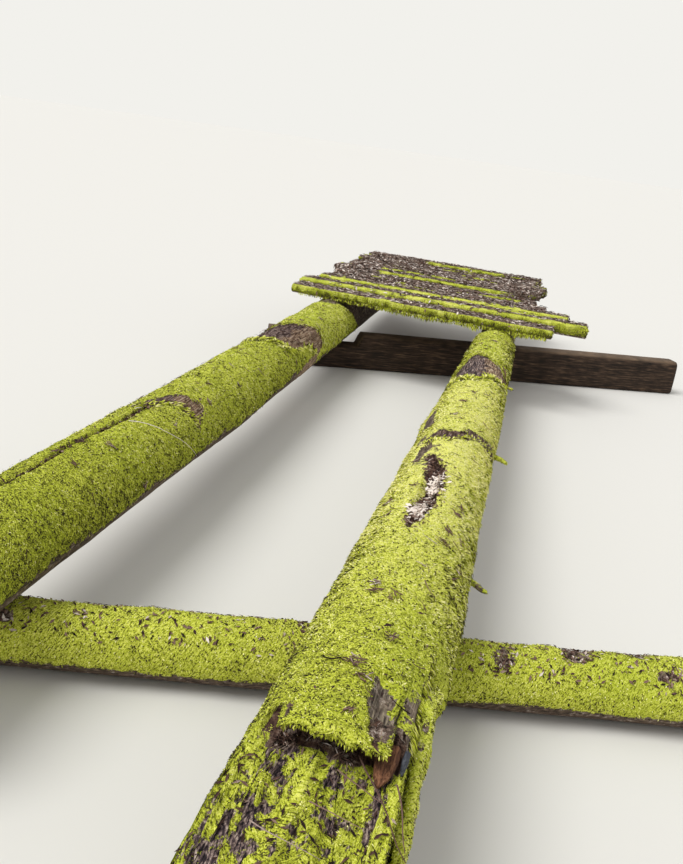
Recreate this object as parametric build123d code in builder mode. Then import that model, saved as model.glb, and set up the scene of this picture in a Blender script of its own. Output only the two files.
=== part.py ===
from build123d import *
from dataclasses import dataclass
from math import cos, exp, pi, radians, sin, sqrt, tan
import os

# Millimetres. The origin lies on the ground, in the middle of the near sill's adzed underside.
# +Y runs along the bridge from the near bank to the far bank, +X to the right and +Z up.

# Stringer logs: the right one has its butt at the near bank, the left one at the far bank
log_spacing = 1617
right_drift = 36
left_bow = 16
right_near_radius = 280
right_far_radius = 143
left_near_radius = 238
left_far_radius = 243
near_reach = 1180
left_near_reach = 1150
far_reach = 3240
log_stations = 18

# Uneven growth: a waist in the right log, a swelling in the left log and the right log's root flare
growth_length = 450
right_waist = 8
right_waist_y = 1150
left_swelling = 8
left_swelling_y = 2300
flare = 20
flare_length = 420

# Sill logs, which cross under the stringers at the angle of the creek's banks
span = 6080
near_skew = 15
near_sill_radius = 150
near_sill_foot = 12
near_sill_left = 1420
near_sill_right = 2260
near_seat = 272
far_skew = 24
far_sill_width = 250
far_sill_left = 1500
far_sill_right = 3000
far_sill_chamfer = 18
seat_depth = 15
seat_margin = 25
notch_clearance = 12
fit_clearance = 0.3

# Deck of split slabs, laid across adzed flats along the crowns of both stringers
deck_start = 5480
deck_seat = 695
adze_depth = 6
deck_yaw = -4.5
slab_reach = 1200
slab_width = 290
slab_thickness = 115
slab_gap = 44
slab_corner = 14
slab_chamfer = 9
slab_end_skew = 18

# Seats of two slabs that are gone
old_seat_depth = 8
old_seat_length = 240
first_old_seat_y = 3860
first_old_seat_yaw = -5
second_old_seat_y = 1660
second_old_seat_yaw = 9

# Broken butt of the right log: an overhanging upper shell, a cavity, and a rotten lower half
butt_skew = 3
lip_thickness = 45
undercut_depth = 150
undercut_rise = 12
cavity_height = 62
cavity_floor_depth = 120
cavity_floor_drop = 10
lower_shell_reach = 400
lower_shell_drop = 170

# Broken near end of the left log
left_break_skew = -20
left_break_depth = 260
left_break_height = 250

# Decayed right flank of the butt, behind which a splinter of outer shell stands
flank_loss = 72
flank_length = 660

# Pockets of rot, and the long shake of the left log
pocket_floor = 0.3
butt_pocket_length = 330
butt_pocket_width = 120
butt_pocket_depth = 42
butt_pocket_inset = 230
butt_pocket_turn = 27
rot_length = 820
rot_width = 110
rot_depth = 34
rot_y = 800
rot_turn = -4
shake_length = 1500
shake_width = 42
shake_depth = 40
shake_y = 720
shake_turn = -8

# Splinter of outer shell
splinter_inset = 580
splinter_length = 800
splinter_height = 165
splinter_thickness = 48
splinter_below_crown = 80
splinter_droop = 330
splinter_chamfer = 12
splinter_shoulder = 0.3
splinter_bend = 0.68

# Loose heartwood and a chip that lie on the cavity's floor, beside the end of the lip
heartwood_length = 150
heartwood_width = 60
heartwood_thickness = 26
heartwood_aside = 143
chip_length = 90
chip_width = 22
chip_thickness = 16
chip_aside = 189
shard_shoulder = 0.45
shard_narrowing = 0.85

# Branch stubs on the right log's outer flank
stub_radius = 19
stub_tip_radius = 12
stub_length = 130
stub_root = 60
low_stub_y = 430
middle_stub_y = 2200
high_stub_y = 3880


@dataclass
class Stringer:
    """A stringer log: its axis at the near sill, its lean and bow in plan, its ends, radii and growth."""

    x: float
    drift: float
    bow: float
    near_y: float
    far_y: float
    near_radius: float
    far_radius: float
    flare: float
    growth: float
    growth_y: float


@dataclass
class Sill:
    """A sill: the place of its middle along the bridge, its turn in plan and its width."""

    y: float
    skew: float
    width: float


@dataclass
class Slab:
    """A deck slab: the gap before it, its sizes as shares of the usual slab, and its own turn in degrees."""

    gap: float
    width: float
    thickness: float
    left: float
    right: float
    turn: float


@dataclass
class Stub:
    """A broken branch: its node, its place along and round the log, its lean to the butt and its scale."""

    name: str
    y: float
    turn: float
    lean: float
    scale: float


far_end = span + far_reach
right = Stringer(
    x=log_spacing / 2,
    drift=right_drift,
    bow=0,
    near_y=-near_reach - lower_shell_reach,
    far_y=far_end,
    near_radius=right_near_radius,
    far_radius=right_far_radius,
    flare=flare,
    growth=-right_waist,
    growth_y=right_waist_y,
)
left = Stringer(
    x=-log_spacing / 2,
    drift=0,
    bow=left_bow,
    near_y=-left_near_reach,
    far_y=far_end,
    near_radius=left_near_radius,
    far_radius=left_far_radius,
    flare=0,
    growth=left_swelling,
    growth_y=left_swelling_y,
)
near_bank = Sill(y=0, skew=near_skew, width=2 * near_sill_radius)
far_bank = Sill(y=span, skew=far_skew, width=far_sill_width)
slabs = [
    Slab(gap=0, width=0.98, thickness=0.80, left=1.03, right=1.13, turn=-0.6),
    Slab(gap=0.95, width=1.02, thickness=1.01, left=1.03, right=1.40, turn=0.8),
    Slab(gap=1.10, width=0.93, thickness=1.08, left=0.94, right=1.25, turn=-0.5),
    Slab(gap=0.90, width=1.00, thickness=0.97, left=0.88, right=1.06, turn=0.4),
    Slab(gap=1.05, width=1.03, thickness=1.02, left=0.93, right=0.97, turn=-0.7),
    Slab(gap=1.00, width=0.97, thickness=1.13, left=0.99, right=0.76, turn=0.3),
    Slab(gap=0.95, width=1.07, thickness=1.13, left=0.90, right=0.96, turn=-0.4),
    Slab(gap=1.02, width=0.93, thickness=0.91, left=0.96, right=1.01, turn=0.5),
    Slab(gap=0.91, width=1.03, thickness=0.97, left=0.88, right=1.05, turn=-0.3),
    Slab(gap=1.09, width=0.98, thickness=0.90, left=0.98, right=0.93, turn=0.4),
    Slab(gap=1.00, width=1.00, thickness=1.06, left=0.93, right=0.99, turn=-0.6),
]
stubs = [
    Stub(name="low_branch_stub", y=low_stub_y, turn=89, lean=-36, scale=0.85),
    Stub(name="middle_branch_stub", y=middle_stub_y, turn=88, lean=-40, scale=1.0),
    Stub(name="high_branch_stub", y=high_stub_y, turn=78, lean=-45, scale=0.75),
]
deck_crown = deck_seat + adze_depth


def log_x(log, y):
    """Place of a log's axis: it drifts outwards along the span and bows in its middle."""
    share = y / span
    return log.x + log.drift * share + log.bow * sin(pi * min(max(share, 0), 1))


def log_radius(log, y):
    """Even taper from near end to far end, with the root flare and the uneven growth added."""
    share = (y - log.near_y) / (log.far_y - log.near_y)
    taper = log.near_radius + (log.far_radius - log.near_radius) * share
    root = log.flare * exp(-(y - log.near_y) / flare_length)
    return taper + root + log.growth * exp(-(((y - log.growth_y) / growth_length) ** 2))


def crossing(log, sill):
    """Where a stringer crosses a skewed sill's axis."""
    return sill.y + log.x * tan(radians(sill.skew))


def log_crown(log, y):
    """Height of the crown: level along the deck, and straight from there to the near sill and beyond."""
    sill_crown = near_seat - seat_depth + 2 * log_radius(log, crossing(log, near_bank))
    share = (deck_start - y) / (deck_start - crossing(log, near_bank))
    return deck_crown + (sill_crown - deck_crown) * max(share, 0)


def log_axis_point(log, y):
    return Vector(log_x(log, y), y, log_crown(log, y) - log_radius(log, y))


def log_underside(log, y):
    return log_crown(log, y) - 2 * log_radius(log, y)


def outward(turn):
    """Direction out of a log's side, turned from straight up towards +X."""
    return Vector(sin(radians(turn)), 0, cos(radians(turn)))


def log_body(log):
    """Round sections from end to end, lofted into one log inside the part being built."""
    sections = []
    for index in range(log_stations):
        y = log.near_y + (log.far_y - log.near_y) * index / (log_stations - 1)
        with BuildSketch(Plane(origin=log_axis_point(log, y), x_dir=(1, 0, 0), z_dir=(0, 1, 0))) as section:
            Circle(log_radius(log, y))
        sections.append(section.sketch)
    loft(sections)


def cut_sill_seat(log, sill, seat):
    """Flat adzed across the stringer's underside, square with the skewed sill."""
    y = crossing(log, sill)
    with Locations(Location((log_x(log, y), y, seat), (0, 0, sill.skew))):
        Box(
            4 * log.near_radius,
            sill.width + 2 * seat_margin,
            2 * log.near_radius,
            align=(Align.CENTER, Align.CENTER, Align.MAX),
            mode=Mode.SUBTRACT,
        )


def cut_deck_flat(log):
    """Flat adzed along the crown under all of the deck."""
    y = deck_start + log.x * tan(radians(deck_yaw)) - notch_clearance
    with Locations(Location((log_x(log, y), y, deck_seat), (0, 0, deck_yaw))):
        Box(
            4 * log.near_radius,
            2 * far_end,
            log.near_radius,
            align=(Align.CENTER, Align.MIN, Align.MIN),
            mode=Mode.SUBTRACT,
        )


def cut_old_seat(log, middle_y, yaw):
    """Shallow flat across the crown where a lost slab lay."""
    y = middle_y + log.x * tan(radians(yaw))
    with Locations(Location((log_x(log, y), y, log_crown(log, y) - old_seat_depth), (0, 0, yaw))):
        Box(
            4 * log.near_radius,
            old_seat_length,
            log.near_radius,
            align=(Align.CENTER, Align.CENTER, Align.MIN),
            mode=Mode.SUBTRACT,
        )


def cut_pocket(log, y, turn, length, width, depth):
    """Long shallow pocket that narrows to its ends: a wheel with a tapered rim, sunk into the log."""
    out = outward(turn)
    across = outward(turn + 90)
    bottom = log_axis_point(log, y) + out * (log_radius(log, y) - depth)
    wheel_radius = (length * length / 4 + depth * depth) / (2 * depth)
    floor = width * pocket_floor
    brim = 2 * width - floor
    with BuildSketch(Plane(origin=bottom, x_dir=across, z_dir=across.cross(out))) as rim:
        with BuildLine():
            Polyline((-floor / 2, 0), (floor / 2, 0), (brim / 2, 2 * depth), (-brim / 2, 2 * depth), close=True)
        make_face()
    revolve(rim.sketch, axis=Axis(bottom + out * wheel_radius, across), mode=Mode.SUBTRACT)


def far_seat(log):
    """Height of the flat on which a stringer rests on the far sill."""
    return log_underside(log, crossing(log, far_bank)) + seat_depth


def half_notch(log, sill, sill_top):
    """Half the length of the seat that a stringer needs along a skewed sill, up to the sill's top."""
    y = crossing(log, sill)
    height = sill_top - log_underside(log, y)
    chord = sqrt(height * (2 * log_radius(log, y) - height))
    return chord / cos(radians(sill.skew)) + sill.width / 2 * tan(radians(sill.skew)) + notch_clearance


def cut_seat_in_sill(log, sill, sill_top, seat):
    """Notch in a sill that takes a stringer's adzed underside."""
    y = crossing(log, sill)
    with Locations(Location((log_x(log, y), y, seat - fit_clearance), (0, 0, sill.skew))):
        Box(
            2 * half_notch(log, sill, sill_top),
            2 * sill.width,
            2 * sill_top,
            align=(Align.CENTER, Align.CENTER, Align.MIN),
            mode=Mode.SUBTRACT,
        )


def sill_direction(sill):
    return Vector(cos(radians(sill.skew)), sin(radians(sill.skew)), 0)


def slab_front(index):
    """Distance along the bridge to the front edge of a slab, at the middle of the deck."""
    gaps = sum(slab.gap for slab in slabs[: index + 1])
    widths = sum(slab.width for slab in slabs[:index])
    return deck_start + gaps * slab_gap + widths * slab_width


os.makedirs("parts", exist_ok=True)

# Left stringer log, with its upper half broken away at the near end
break_plane = Plane(
    origin=(log_x(left, left.near_y), left.near_y, log_crown(left, left.near_y)),
    x_dir=(sin(radians(left_break_skew)), cos(radians(left_break_skew)), 0),
    z_dir=(cos(radians(left_break_skew)), -sin(radians(left_break_skew)), 0),
)
with BuildPart() as left_log:
    log_body(left)
    with BuildSketch(break_plane):
        with BuildLine():
            Polyline(
                (-left_break_depth, left_break_height),
                (left_break_depth, left_break_height),
                (left_break_depth / 2, -left_break_height / 2),
                (left_break_depth / 3, -left_break_height),
                (-left_break_depth, -left_break_height),
                close=True,
            )
        make_face()
    extrude(amount=2 * left_near_radius, both=True, mode=Mode.SUBTRACT)
    cut_sill_seat(left, near_bank, near_seat)
    cut_sill_seat(left, far_bank, far_seat(left))
    cut_deck_flat(left)
    cut_old_seat(left, first_old_seat_y, first_old_seat_yaw)
    cut_old_seat(left, second_old_seat_y, second_old_seat_yaw)
    cut_pocket(left, shake_y, shake_turn, shake_length, shake_width, shake_depth)
left_log.part.label = "left_log"
export_step(left_log.part, "parts/left_log.step")

# Right stringer log, broken and hollow at its butt
lip_y = -near_reach
lip_z = log_crown(right, lip_y) - lip_thickness
cavity_z = lip_z - cavity_height
shell_z = cavity_z - cavity_floor_drop
along_butt = Vector(sin(radians(butt_skew)), cos(radians(butt_skew)), 0)
across_butt = Vector(cos(radians(butt_skew)), -sin(radians(butt_skew)), 0)
flank_y = lip_y + flank_length
flank_x = log_x(right, flank_y) + log_radius(right, flank_y) - flank_loss
with BuildPart() as right_log:
    log_body(right)
    with BuildSketch(Plane(origin=(log_x(right, lip_y), lip_y, 0), x_dir=along_butt, z_dir=across_butt)):
        with BuildLine():
            Polyline(
                (-2 * lower_shell_reach, 2 * lip_z),
                (0, 2 * lip_z),
                (0, lip_z),
                (undercut_depth, lip_z - undercut_rise),
                (cavity_floor_depth, cavity_z),
                (0, shell_z),
                (-2 * lower_shell_reach, shell_z - 2 * lower_shell_drop),
                close=True,
            )
        make_face()
    extrude(amount=2 * right_near_radius, both=True, mode=Mode.SUBTRACT)
    with Locations((flank_x, flank_y, lip_z)):
        Box(
            2 * flank_loss,
            2 * near_reach,
            4 * right_near_radius,
            align=(Align.MIN, Align.MAX, Align.CENTER),
            mode=Mode.SUBTRACT,
        )
    cut_sill_seat(right, near_bank, near_seat)
    cut_sill_seat(right, far_bank, far_seat(right))
    cut_deck_flat(right)
    cut_old_seat(right, first_old_seat_y, first_old_seat_yaw)
    cut_old_seat(right, second_old_seat_y, second_old_seat_yaw)
    cut_pocket(
        right,
        lip_y + butt_pocket_inset,
        butt_pocket_turn,
        butt_pocket_length,
        butt_pocket_width,
        butt_pocket_depth,
    )
    cut_pocket(right, rot_y, rot_turn, rot_length, rot_width, rot_depth)
right_log.part.label = "right_log"
export_step(right_log.part, "parts/right_log.step")


def shard_outline(length, width, aside):
    """Outline of a split shard: its blunt end lies at the floor's inner end and its point towards the lip."""
    Polyline(
        (0, aside - width / 2),
        (length * shard_shoulder, aside - width / 2 * shard_narrowing),
        (length, aside),
        (length * (1 - shard_shoulder), aside + width / 2),
        (0, aside + width / 2 * shard_narrowing),
        close=True,
    )


# Loose pieces on the cavity's floor, from its inner end out to the edge of the lower shell
floor_fall = (along_butt * -cavity_floor_depth + Vector(0, 0, -cavity_floor_drop)).normalized()
floor_normal = floor_fall.cross(across_butt)
floor_end = Vector(log_x(right, lip_y), lip_y, cavity_z) + along_butt * cavity_floor_depth
floor_plane = Plane(origin=floor_end + floor_normal * fit_clearance, x_dir=floor_fall, z_dir=floor_normal)
with BuildPart() as heartwood_shard:
    with BuildSketch(floor_plane):
        with BuildLine():
            shard_outline(heartwood_length, heartwood_width, heartwood_aside)
        make_face()
    extrude(amount=heartwood_thickness)
heartwood_shard.part.label = "heartwood_shard"
export_step(heartwood_shard.part, "parts/heartwood_shard.step")

with BuildPart() as butt_chip:
    with BuildSketch(floor_plane):
        with BuildLine():
            shard_outline(chip_length, chip_width, chip_aside)
        make_face()
    extrude(amount=chip_thickness)
butt_chip.part.label = "butt_chip"
export_step(butt_chip.part, "parts/butt_chip.step")

# Splinter of outer shell, hanging along the butt's decayed flank
splinter_y = lip_y + splinter_inset
splinter_z = log_crown(right, splinter_y) - splinter_below_crown
root_point = (splinter_y, splinter_z - splinter_height / 2)
tip_point = (splinter_y - splinter_length, splinter_z - splinter_droop)
shoulder_y = splinter_y - splinter_length * splinter_shoulder
bend_y = splinter_y - splinter_length * splinter_bend
bend_z = splinter_z - splinter_droop * splinter_bend**2
with BuildPart() as butt_splinter:
    with BuildSketch(Plane.YZ.offset(flank_x + fit_clearance)):
        with BuildLine():
            Spline(root_point, (shoulder_y, splinter_z), (bend_y, bend_z), tip_point)
            Spline(
                tip_point,
                (bend_y, bend_z - splinter_height),
                (shoulder_y, splinter_z - splinter_height),
                root_point,
            )
        make_face()
    extrude(amount=splinter_thickness)
    chamfer(butt_splinter.faces().sort_by(Axis.X)[-1].edges(), splinter_chamfer)
butt_splinter.part.label = "butt_splinter"
export_step(butt_splinter.part, "parts/butt_splinter.step")

# Branch stubs, each cut to the log's surface
for stub in stubs:
    root = log_axis_point(right, stub.y) + outward(stub.turn) * (log_radius(right, stub.y) - stub_root)
    aim = (outward(stub.turn) + Vector(0, tan(radians(stub.lean)), 0)).normalized()
    tip = root + aim * (stub_root + stub_length * stub.scale)
    with BuildPart() as branch_stub:
        with BuildSketch(Plane(origin=root, z_dir=aim)):
            Circle(stub_radius * stub.scale)
        with BuildSketch(Plane(origin=tip, z_dir=aim)):
            Circle(stub_tip_radius * stub.scale)
        loft()
        add(right_log.part, mode=Mode.SUBTRACT)
    branch_stub.part.label = stub.name
    export_step(branch_stub.part, f"parts/{stub.name}.step")

# Near sill: a round log under both near ends, adzed flat where it lies and where the stringers rest
near_sill_axis_z = near_sill_radius - near_sill_foot
near_sill_top = near_sill_axis_z + near_sill_radius
near_sill_plane = Plane(origin=(0, 0, near_sill_axis_z), z_dir=sill_direction(near_bank))
with BuildPart() as near_sill:
    with BuildSketch(near_sill_plane.offset(-near_sill_left)):
        Circle(near_sill_radius)
    extrude(amount=near_sill_left + near_sill_right)
    Box(
        4 * near_sill_right,
        4 * near_sill_right,
        near_sill_radius,
        align=(Align.CENTER, Align.CENTER, Align.MAX),
        mode=Mode.SUBTRACT,
    )
    cut_seat_in_sill(left, near_bank, near_sill_top, near_seat)
    cut_seat_in_sill(right, near_bank, near_sill_top, near_seat)
near_sill.part.label = "near_sill"
export_step(near_sill.part, "parts/near_sill.step")

# Far sill: a hewn timber whose top carries the right log, notched for the thicker left log
far_sill_top = far_seat(right) - fit_clearance
far_sill_plane = Plane(origin=(0, span, 0), x_dir=(0, 0, 1), z_dir=sill_direction(far_bank))
with BuildPart() as far_sill:
    with BuildSketch(far_sill_plane.offset(-far_sill_left)) as far_sill_section:
        Rectangle(far_sill_top, far_sill_width, align=(Align.MIN, Align.CENTER))
        chamfer(far_sill_section.vertices().group_by(Axis.Z)[-1], far_sill_chamfer)
    extrude(amount=far_sill_left + far_sill_right)
    cut_seat_in_sill(left, far_bank, far_sill_top, far_seat(left))
far_sill.part.label = "far_sill"
export_step(far_sill.part, "parts/far_sill.step")

# Deck slabs, from the open edge of the deck to the bank
for index, slab in enumerate(slabs):
    yaw = radians(deck_yaw + slab.turn)
    corner = Plane(
        origin=(0, slab_front(index), deck_seat + fit_clearance), x_dir=(cos(yaw), sin(yaw), 0), z_dir=(0, 0, 1)
    )
    left_end = -slab.left * slab_reach
    right_end = slab.right * slab_reach
    depth = slab.width * slab_width
    with BuildPart() as deck_slab:
        with BuildSketch(corner):
            with BuildLine():
                Polyline(
                    (left_end, 0),
                    (right_end, 0),
                    (right_end - slab_end_skew, depth),
                    (left_end + slab_end_skew, depth),
                    close=True,
                )
            make_face()
        extrude(amount=slab.thickness * slab_thickness)
        fillet(deck_slab.edges().filter_by(Axis.Z), slab_corner)
        chamfer(deck_slab.faces().sort_by(Axis.Z)[-1].edges(), slab_chamfer)
    deck_slab.part.label = f"deck_slab_{index + 1}"
    export_step(deck_slab.part, f"parts/deck_slab_{index + 1}.step")
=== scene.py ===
from dataclasses import dataclass
from math import cos, pi, radians, sin, tan

import bpy
import numpy as np
from bpy.props import FloatProperty, FloatVectorProperty, IntProperty, PointerProperty
from mathutils import Matrix, Vector


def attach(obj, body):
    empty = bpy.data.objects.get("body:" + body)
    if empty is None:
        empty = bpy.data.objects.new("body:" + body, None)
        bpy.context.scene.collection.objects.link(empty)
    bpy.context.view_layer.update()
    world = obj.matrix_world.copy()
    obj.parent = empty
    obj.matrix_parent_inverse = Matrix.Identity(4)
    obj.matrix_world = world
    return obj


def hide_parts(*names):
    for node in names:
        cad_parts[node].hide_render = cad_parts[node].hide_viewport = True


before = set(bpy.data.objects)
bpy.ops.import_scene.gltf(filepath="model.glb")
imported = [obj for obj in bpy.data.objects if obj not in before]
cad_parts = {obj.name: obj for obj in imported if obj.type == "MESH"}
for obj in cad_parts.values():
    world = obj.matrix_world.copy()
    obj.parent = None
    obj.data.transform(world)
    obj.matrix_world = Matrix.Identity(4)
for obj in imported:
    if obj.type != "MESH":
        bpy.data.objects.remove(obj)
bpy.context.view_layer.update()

bl_info = {
    "name": "Log footbridge",
    "version": (1, 0, 0),
    "blender": (4, 5, 0),
    "location": "3D View > Sidebar > Footbridge",
    "description": "Dresses a derelict footbridge of two stringer logs in bark, moss, rot and litter",
    "category": "Object",
}

# Sizes of the solids, in metres, as in the part's source
LOG_SPACING = 1.617
SPAN = 6.08
FAR_END = SPAN + 3.24
NEAR_REACH = 1.18
FLARE_LENGTH = 0.42
GROWTH_LENGTH = 0.45
FIT = 0.0003

# Sills
NEAR_SKEW = radians(15)
FAR_SKEW = radians(24)
NEAR_SEAT = 0.272
SEAT_DEPTH = 0.015
SEAT_MARGIN = 0.025
NOTCH_CLEARANCE = 0.012
SILL_RADIUS = 0.15
SILL_FOOT = 0.012
SILL_LEFT = 1.42
SILL_RIGHT = 2.26
FAR_SILL_WIDTH = 0.25
FAR_SILL_LEFT = 1.5
FAR_SILL_RIGHT = 3.0

# Deck, with its yaw in degrees, and the seats of two lost slabs: their places and yaws
DECK_START = 5.48
DECK_SEAT = 0.695
DECK_CROWN = DECK_SEAT + 0.006
DECK_YAW = -4.5
SLAB_REACH = 1.2
SLAB_WIDTH = 0.29
SLAB_THICKNESS = 0.115
SLAB_GAP = 0.044
END_SKEW = 0.018
OLD_SEATS = ((3.86, radians(-5)), (1.66, radians(9)))
OLD_SEAT_DEPTH = 0.008

# Broken butt of the right log, and the break of the left log
BUTT_SKEW = radians(3)
LIP_THICKNESS = 0.045
UNDERCUT_DEPTH = 0.15
UNDERCUT_RISE = 0.012
CAVITY_HEIGHT = 0.062
CAVITY_DEPTH = 0.12
CAVITY_FALL = 0.01
SHELL_REACH = 0.4
SHELL_DROP = 0.17
FLANK_LENGTH = 0.66
FLANK_LOSS = 0.072
POCKET_DEPTH = 0.034
SHAKE_DEPTH = 0.036
LEFT_SKEW = radians(-20)

# Bulge on the right log's left flank: its middle along the log and in degrees from the crown, and its sizes
BULGE_Y = 2.35
BULGE_DEGREES = -78
BULGE_LENGTH = 0.3
BULGE_WIDTH = 24
BULGE_HEIGHT = 0.022

# Splinter on the butt's flank
SPLINTER_INSET = 0.58
SPLINTER_LENGTH = 0.8
SPLINTER_HEIGHT = 0.165
SPLINTER_THICKNESS = 0.05
SPLINTER_BELOW_CROWN = 0.08
SPLINTER_DROOP = 0.33


@dataclass(frozen=True)
class Stringer:
    """A stringer log: its axis at the near sill, drift and bow in plan, ends, radii and growth."""

    x: float
    drift: float
    bow: float
    near_y: float
    near_radius: float
    far_radius: float
    flare: float
    growth: float
    growth_y: float


@dataclass(frozen=True)
class Slab:
    """A deck slab: the gap before it, its sizes as shares of the usual slab, and its turn in degrees."""

    gap: float
    width: float
    thickness: float
    left: float
    right: float
    turn: float


RIGHT = Stringer(LOG_SPACING / 2, 0.036, 0, -NEAR_REACH - SHELL_REACH, 0.28, 0.143, 0.02, -0.008, 1.15)
LEFT = Stringer(-LOG_SPACING / 2, 0, 0.016, -1.15, 0.238, 0.243, 0, 0.008, 2.3)
SLABS = (
    Slab(0, 0.98, 0.80, 1.03, 1.13, -0.6),
    Slab(0.95, 1.02, 1.01, 1.03, 1.40, 0.8),
    Slab(1.10, 0.93, 1.08, 0.94, 1.25, -0.5),
    Slab(0.90, 1.00, 0.97, 0.88, 1.06, 0.4),
    Slab(1.05, 1.03, 1.02, 0.93, 0.97, -0.7),
    Slab(1.00, 0.97, 1.13, 0.99, 0.76, 0.3),
    Slab(0.95, 1.07, 1.13, 0.90, 0.96, -0.4),
    Slab(1.02, 0.93, 0.91, 0.96, 1.01, 0.5),
    Slab(0.91, 1.03, 0.97, 0.88, 1.05, -0.3),
    Slab(1.09, 0.98, 0.90, 0.98, 0.93, 0.4),
    Slab(1.00, 1.00, 1.06, 0.93, 0.99, -0.6),
)
# How many moss shoots, hanging strands, twigs and leaves there are on each piece, and the seeds of their
# places
SILL_SHOOTS = 20000
FRONT_SLAB_SHOOTS = 4200
BACK_SLAB_SHOOTS = 2000
SPLINTER_SHOOTS = 7000
STUB_SHOOTS = 260
DECK_STRANDS = 1800
LIP_STRANDS = 900
FLANK_STRANDS = 900
LOG_TWIGS = 90
LOG_LEAVES = 630
RIGHT_SPRAYS = 22
LEFT_SPRAYS = 20
MOSS_SEED = 7
LITTER_SEED = 19

# The skins made so far, with their marks, for what grows or lies on them
grids = {}


def linear(code):
    """An sRGB hex colour turned to linear light, with full alpha."""
    value = np.array([int(code[i : i + 2], 16) for i in (0, 2, 4)]) / 255
    value = np.where(value <= 0.04045, value / 12.92, ((value + 0.055) / 1.055) ** 2.4)
    return (*value.tolist(), 1.0)


# Noise and small formulas


def lattice_value(corner, seed):
    """A fixed number from 0 to 1 for each corner of a cubic lattice, by mixing its three indices."""
    mixed = corner[..., 0] * 73856093 ^ corner[..., 1] * 19349663 ^ corner[..., 2] * 83492791 ^ seed * 40503
    mixed = (mixed ^ (mixed >> 13)) * 1274126177
    return ((mixed ^ (mixed >> 16)) & 0xFFFFFF) / 0xFFFFFF


def noise(points, cell, seed=0):
    """Smooth noise from -1 to 1: lattice values eased between the eight corners round each point."""
    scaled = points / np.asarray(cell)
    corner = np.floor(scaled).astype(np.int64)
    part = scaled - corner
    part = part * part * (3 - 2 * part)
    ends = (1 - part, part)
    total = 0
    for dx, dy, dz in np.ndindex(2, 2, 2):
        weight = ends[dx][..., 0] * ends[dy][..., 1] * ends[dz][..., 2]
        total = total + weight * lattice_value(corner + np.array([dx, dy, dz]), seed)
    return 2 * total - 1


def ease(low, high, value):
    """Rises smoothly from 0 at low to 1 at high: three times the share squared less twice its cube."""
    share = np.clip((value - low) / (high - low), 0, 1)
    return share * share * (3 - 2 * share)


def unit(vectors):
    """Each vector divided by its length."""
    return vectors / np.maximum(np.linalg.norm(vectors, axis=-1, keepdims=True), 1e-9)


def laid_flat(vectors, normal):
    """Each vector less its part along the normal, so that it lies flat on the skin."""
    return vectors - normal * (vectors * normal).sum(-1, keepdims=True)


def on_line(along):
    """Places on a straight line, for noise that varies in one direction only."""
    return np.stack([along, 0 * along, 0 * along], -1)


def rounded(count, power):
    """Across and up shares of a rounded oblong's outline: the cosine and sine round it, raised to a power."""
    turn = np.linspace(0, 2 * pi, count, endpoint=False)
    return [np.sign(wave) * np.abs(wave) ** power for wave in (np.cos(turn), np.sin(turn))]


def skin_axes(degrees):
    """Directions out of a log's side and on round it, at angles turned from the crown towards +X."""
    turn = np.radians(degrees)
    out = np.stack([np.sin(turn), 0 * turn, np.cos(turn)], -1)
    return out, np.stack([out[:, 2], 0 * turn, -out[:, 0]], -1)


def random_tones(rng, middle, spread, count):
    """Tones spread normally round a middle one, kept just inside the colour ramp."""
    return np.clip(rng.normal(middle, spread, count), 0.02, 0.98)


# The logs' formulas, in metres


def log_x(log, y):
    """The axis drifts outwards along the span and bows in its middle by a half sine."""
    share = y / SPAN
    return log.x + log.drift * share + log.bow * np.sin(pi * np.clip(share, 0, 1))


def log_radius(log, y):
    """Even taper from near end to far end, plus the root flare and the uneven growth."""
    taper = log.near_radius + (log.far_radius - log.near_radius) * (y - log.near_y) / (FAR_END - log.near_y)
    return (
        taper
        + log.flare * np.exp(-(y - log.near_y) / FLARE_LENGTH)
        + log.growth * np.exp(-(((y - log.growth_y) / GROWTH_LENGTH) ** 2))
    )


def crossing(log, sill_y, skew):
    """Where a log crosses a skewed sill: the sill's place plus the log's offset times the skew's slope."""
    return sill_y + log.x * tan(skew)


def log_crown(log, y):
    """The crown is level along the deck, and straight from there to the near sill and beyond."""
    near = crossing(log, 0, NEAR_SKEW)
    sill_crown = NEAR_SEAT - SEAT_DEPTH + 2 * log_radius(log, near)
    return DECK_CROWN + (sill_crown - DECK_CROWN) * np.maximum((DECK_START - y) / (DECK_START - near), 0)


def log_point(log, y, degrees, lift=0.0):
    """A point on a log's round skin, at an angle turned from the crown towards +X."""
    y, turn = np.broadcast_arrays(np.asarray(y, float), np.radians(degrees))
    radius = log_radius(log, y)
    x = log_x(log, y) + (radius + lift) * np.sin(turn)
    return np.stack([x, y, log_crown(log, y) - radius + (radius + lift) * np.cos(turn)], -1)


def crown_angle(log, points):
    """How far round a log from its crown each place lies, in degrees towards +X."""
    y = points[..., 1]
    height = points[..., 2] - log_crown(log, y) + log_radius(log, y)
    return np.degrees(np.arctan2(points[..., 0] - log_x(log, y), height))


def far_seat(log):
    """Height of a log's seat on the far sill: its crown less its thickness, plus the depth of its flat."""
    y = crossing(log, SPAN, FAR_SKEW)
    return float(log_crown(log, y) - 2 * log_radius(log, y) + SEAT_DEPTH)


def past_deck_edge(points):
    """How far each place lies beyond the deck's open edge, which is turned by the deck's yaw."""
    return points[..., 1] - DECK_START - points[..., 0] * tan(radians(DECK_YAW))


LIP_Y = -NEAR_REACH
LIP_Z = float(log_crown(RIGHT, LIP_Y)) - LIP_THICKNESS
CAVITY_Z = LIP_Z - CAVITY_HEIGHT
SHELL_Z = CAVITY_Z - CAVITY_FALL
FLANK_Y = LIP_Y + FLANK_LENGTH
FLANK_X = float(log_x(RIGHT, FLANK_Y) + log_radius(RIGHT, FLANK_Y)) - FLANK_LOSS
LEFT_TOP = float(log_crown(LEFT, LEFT.near_y))

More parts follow.
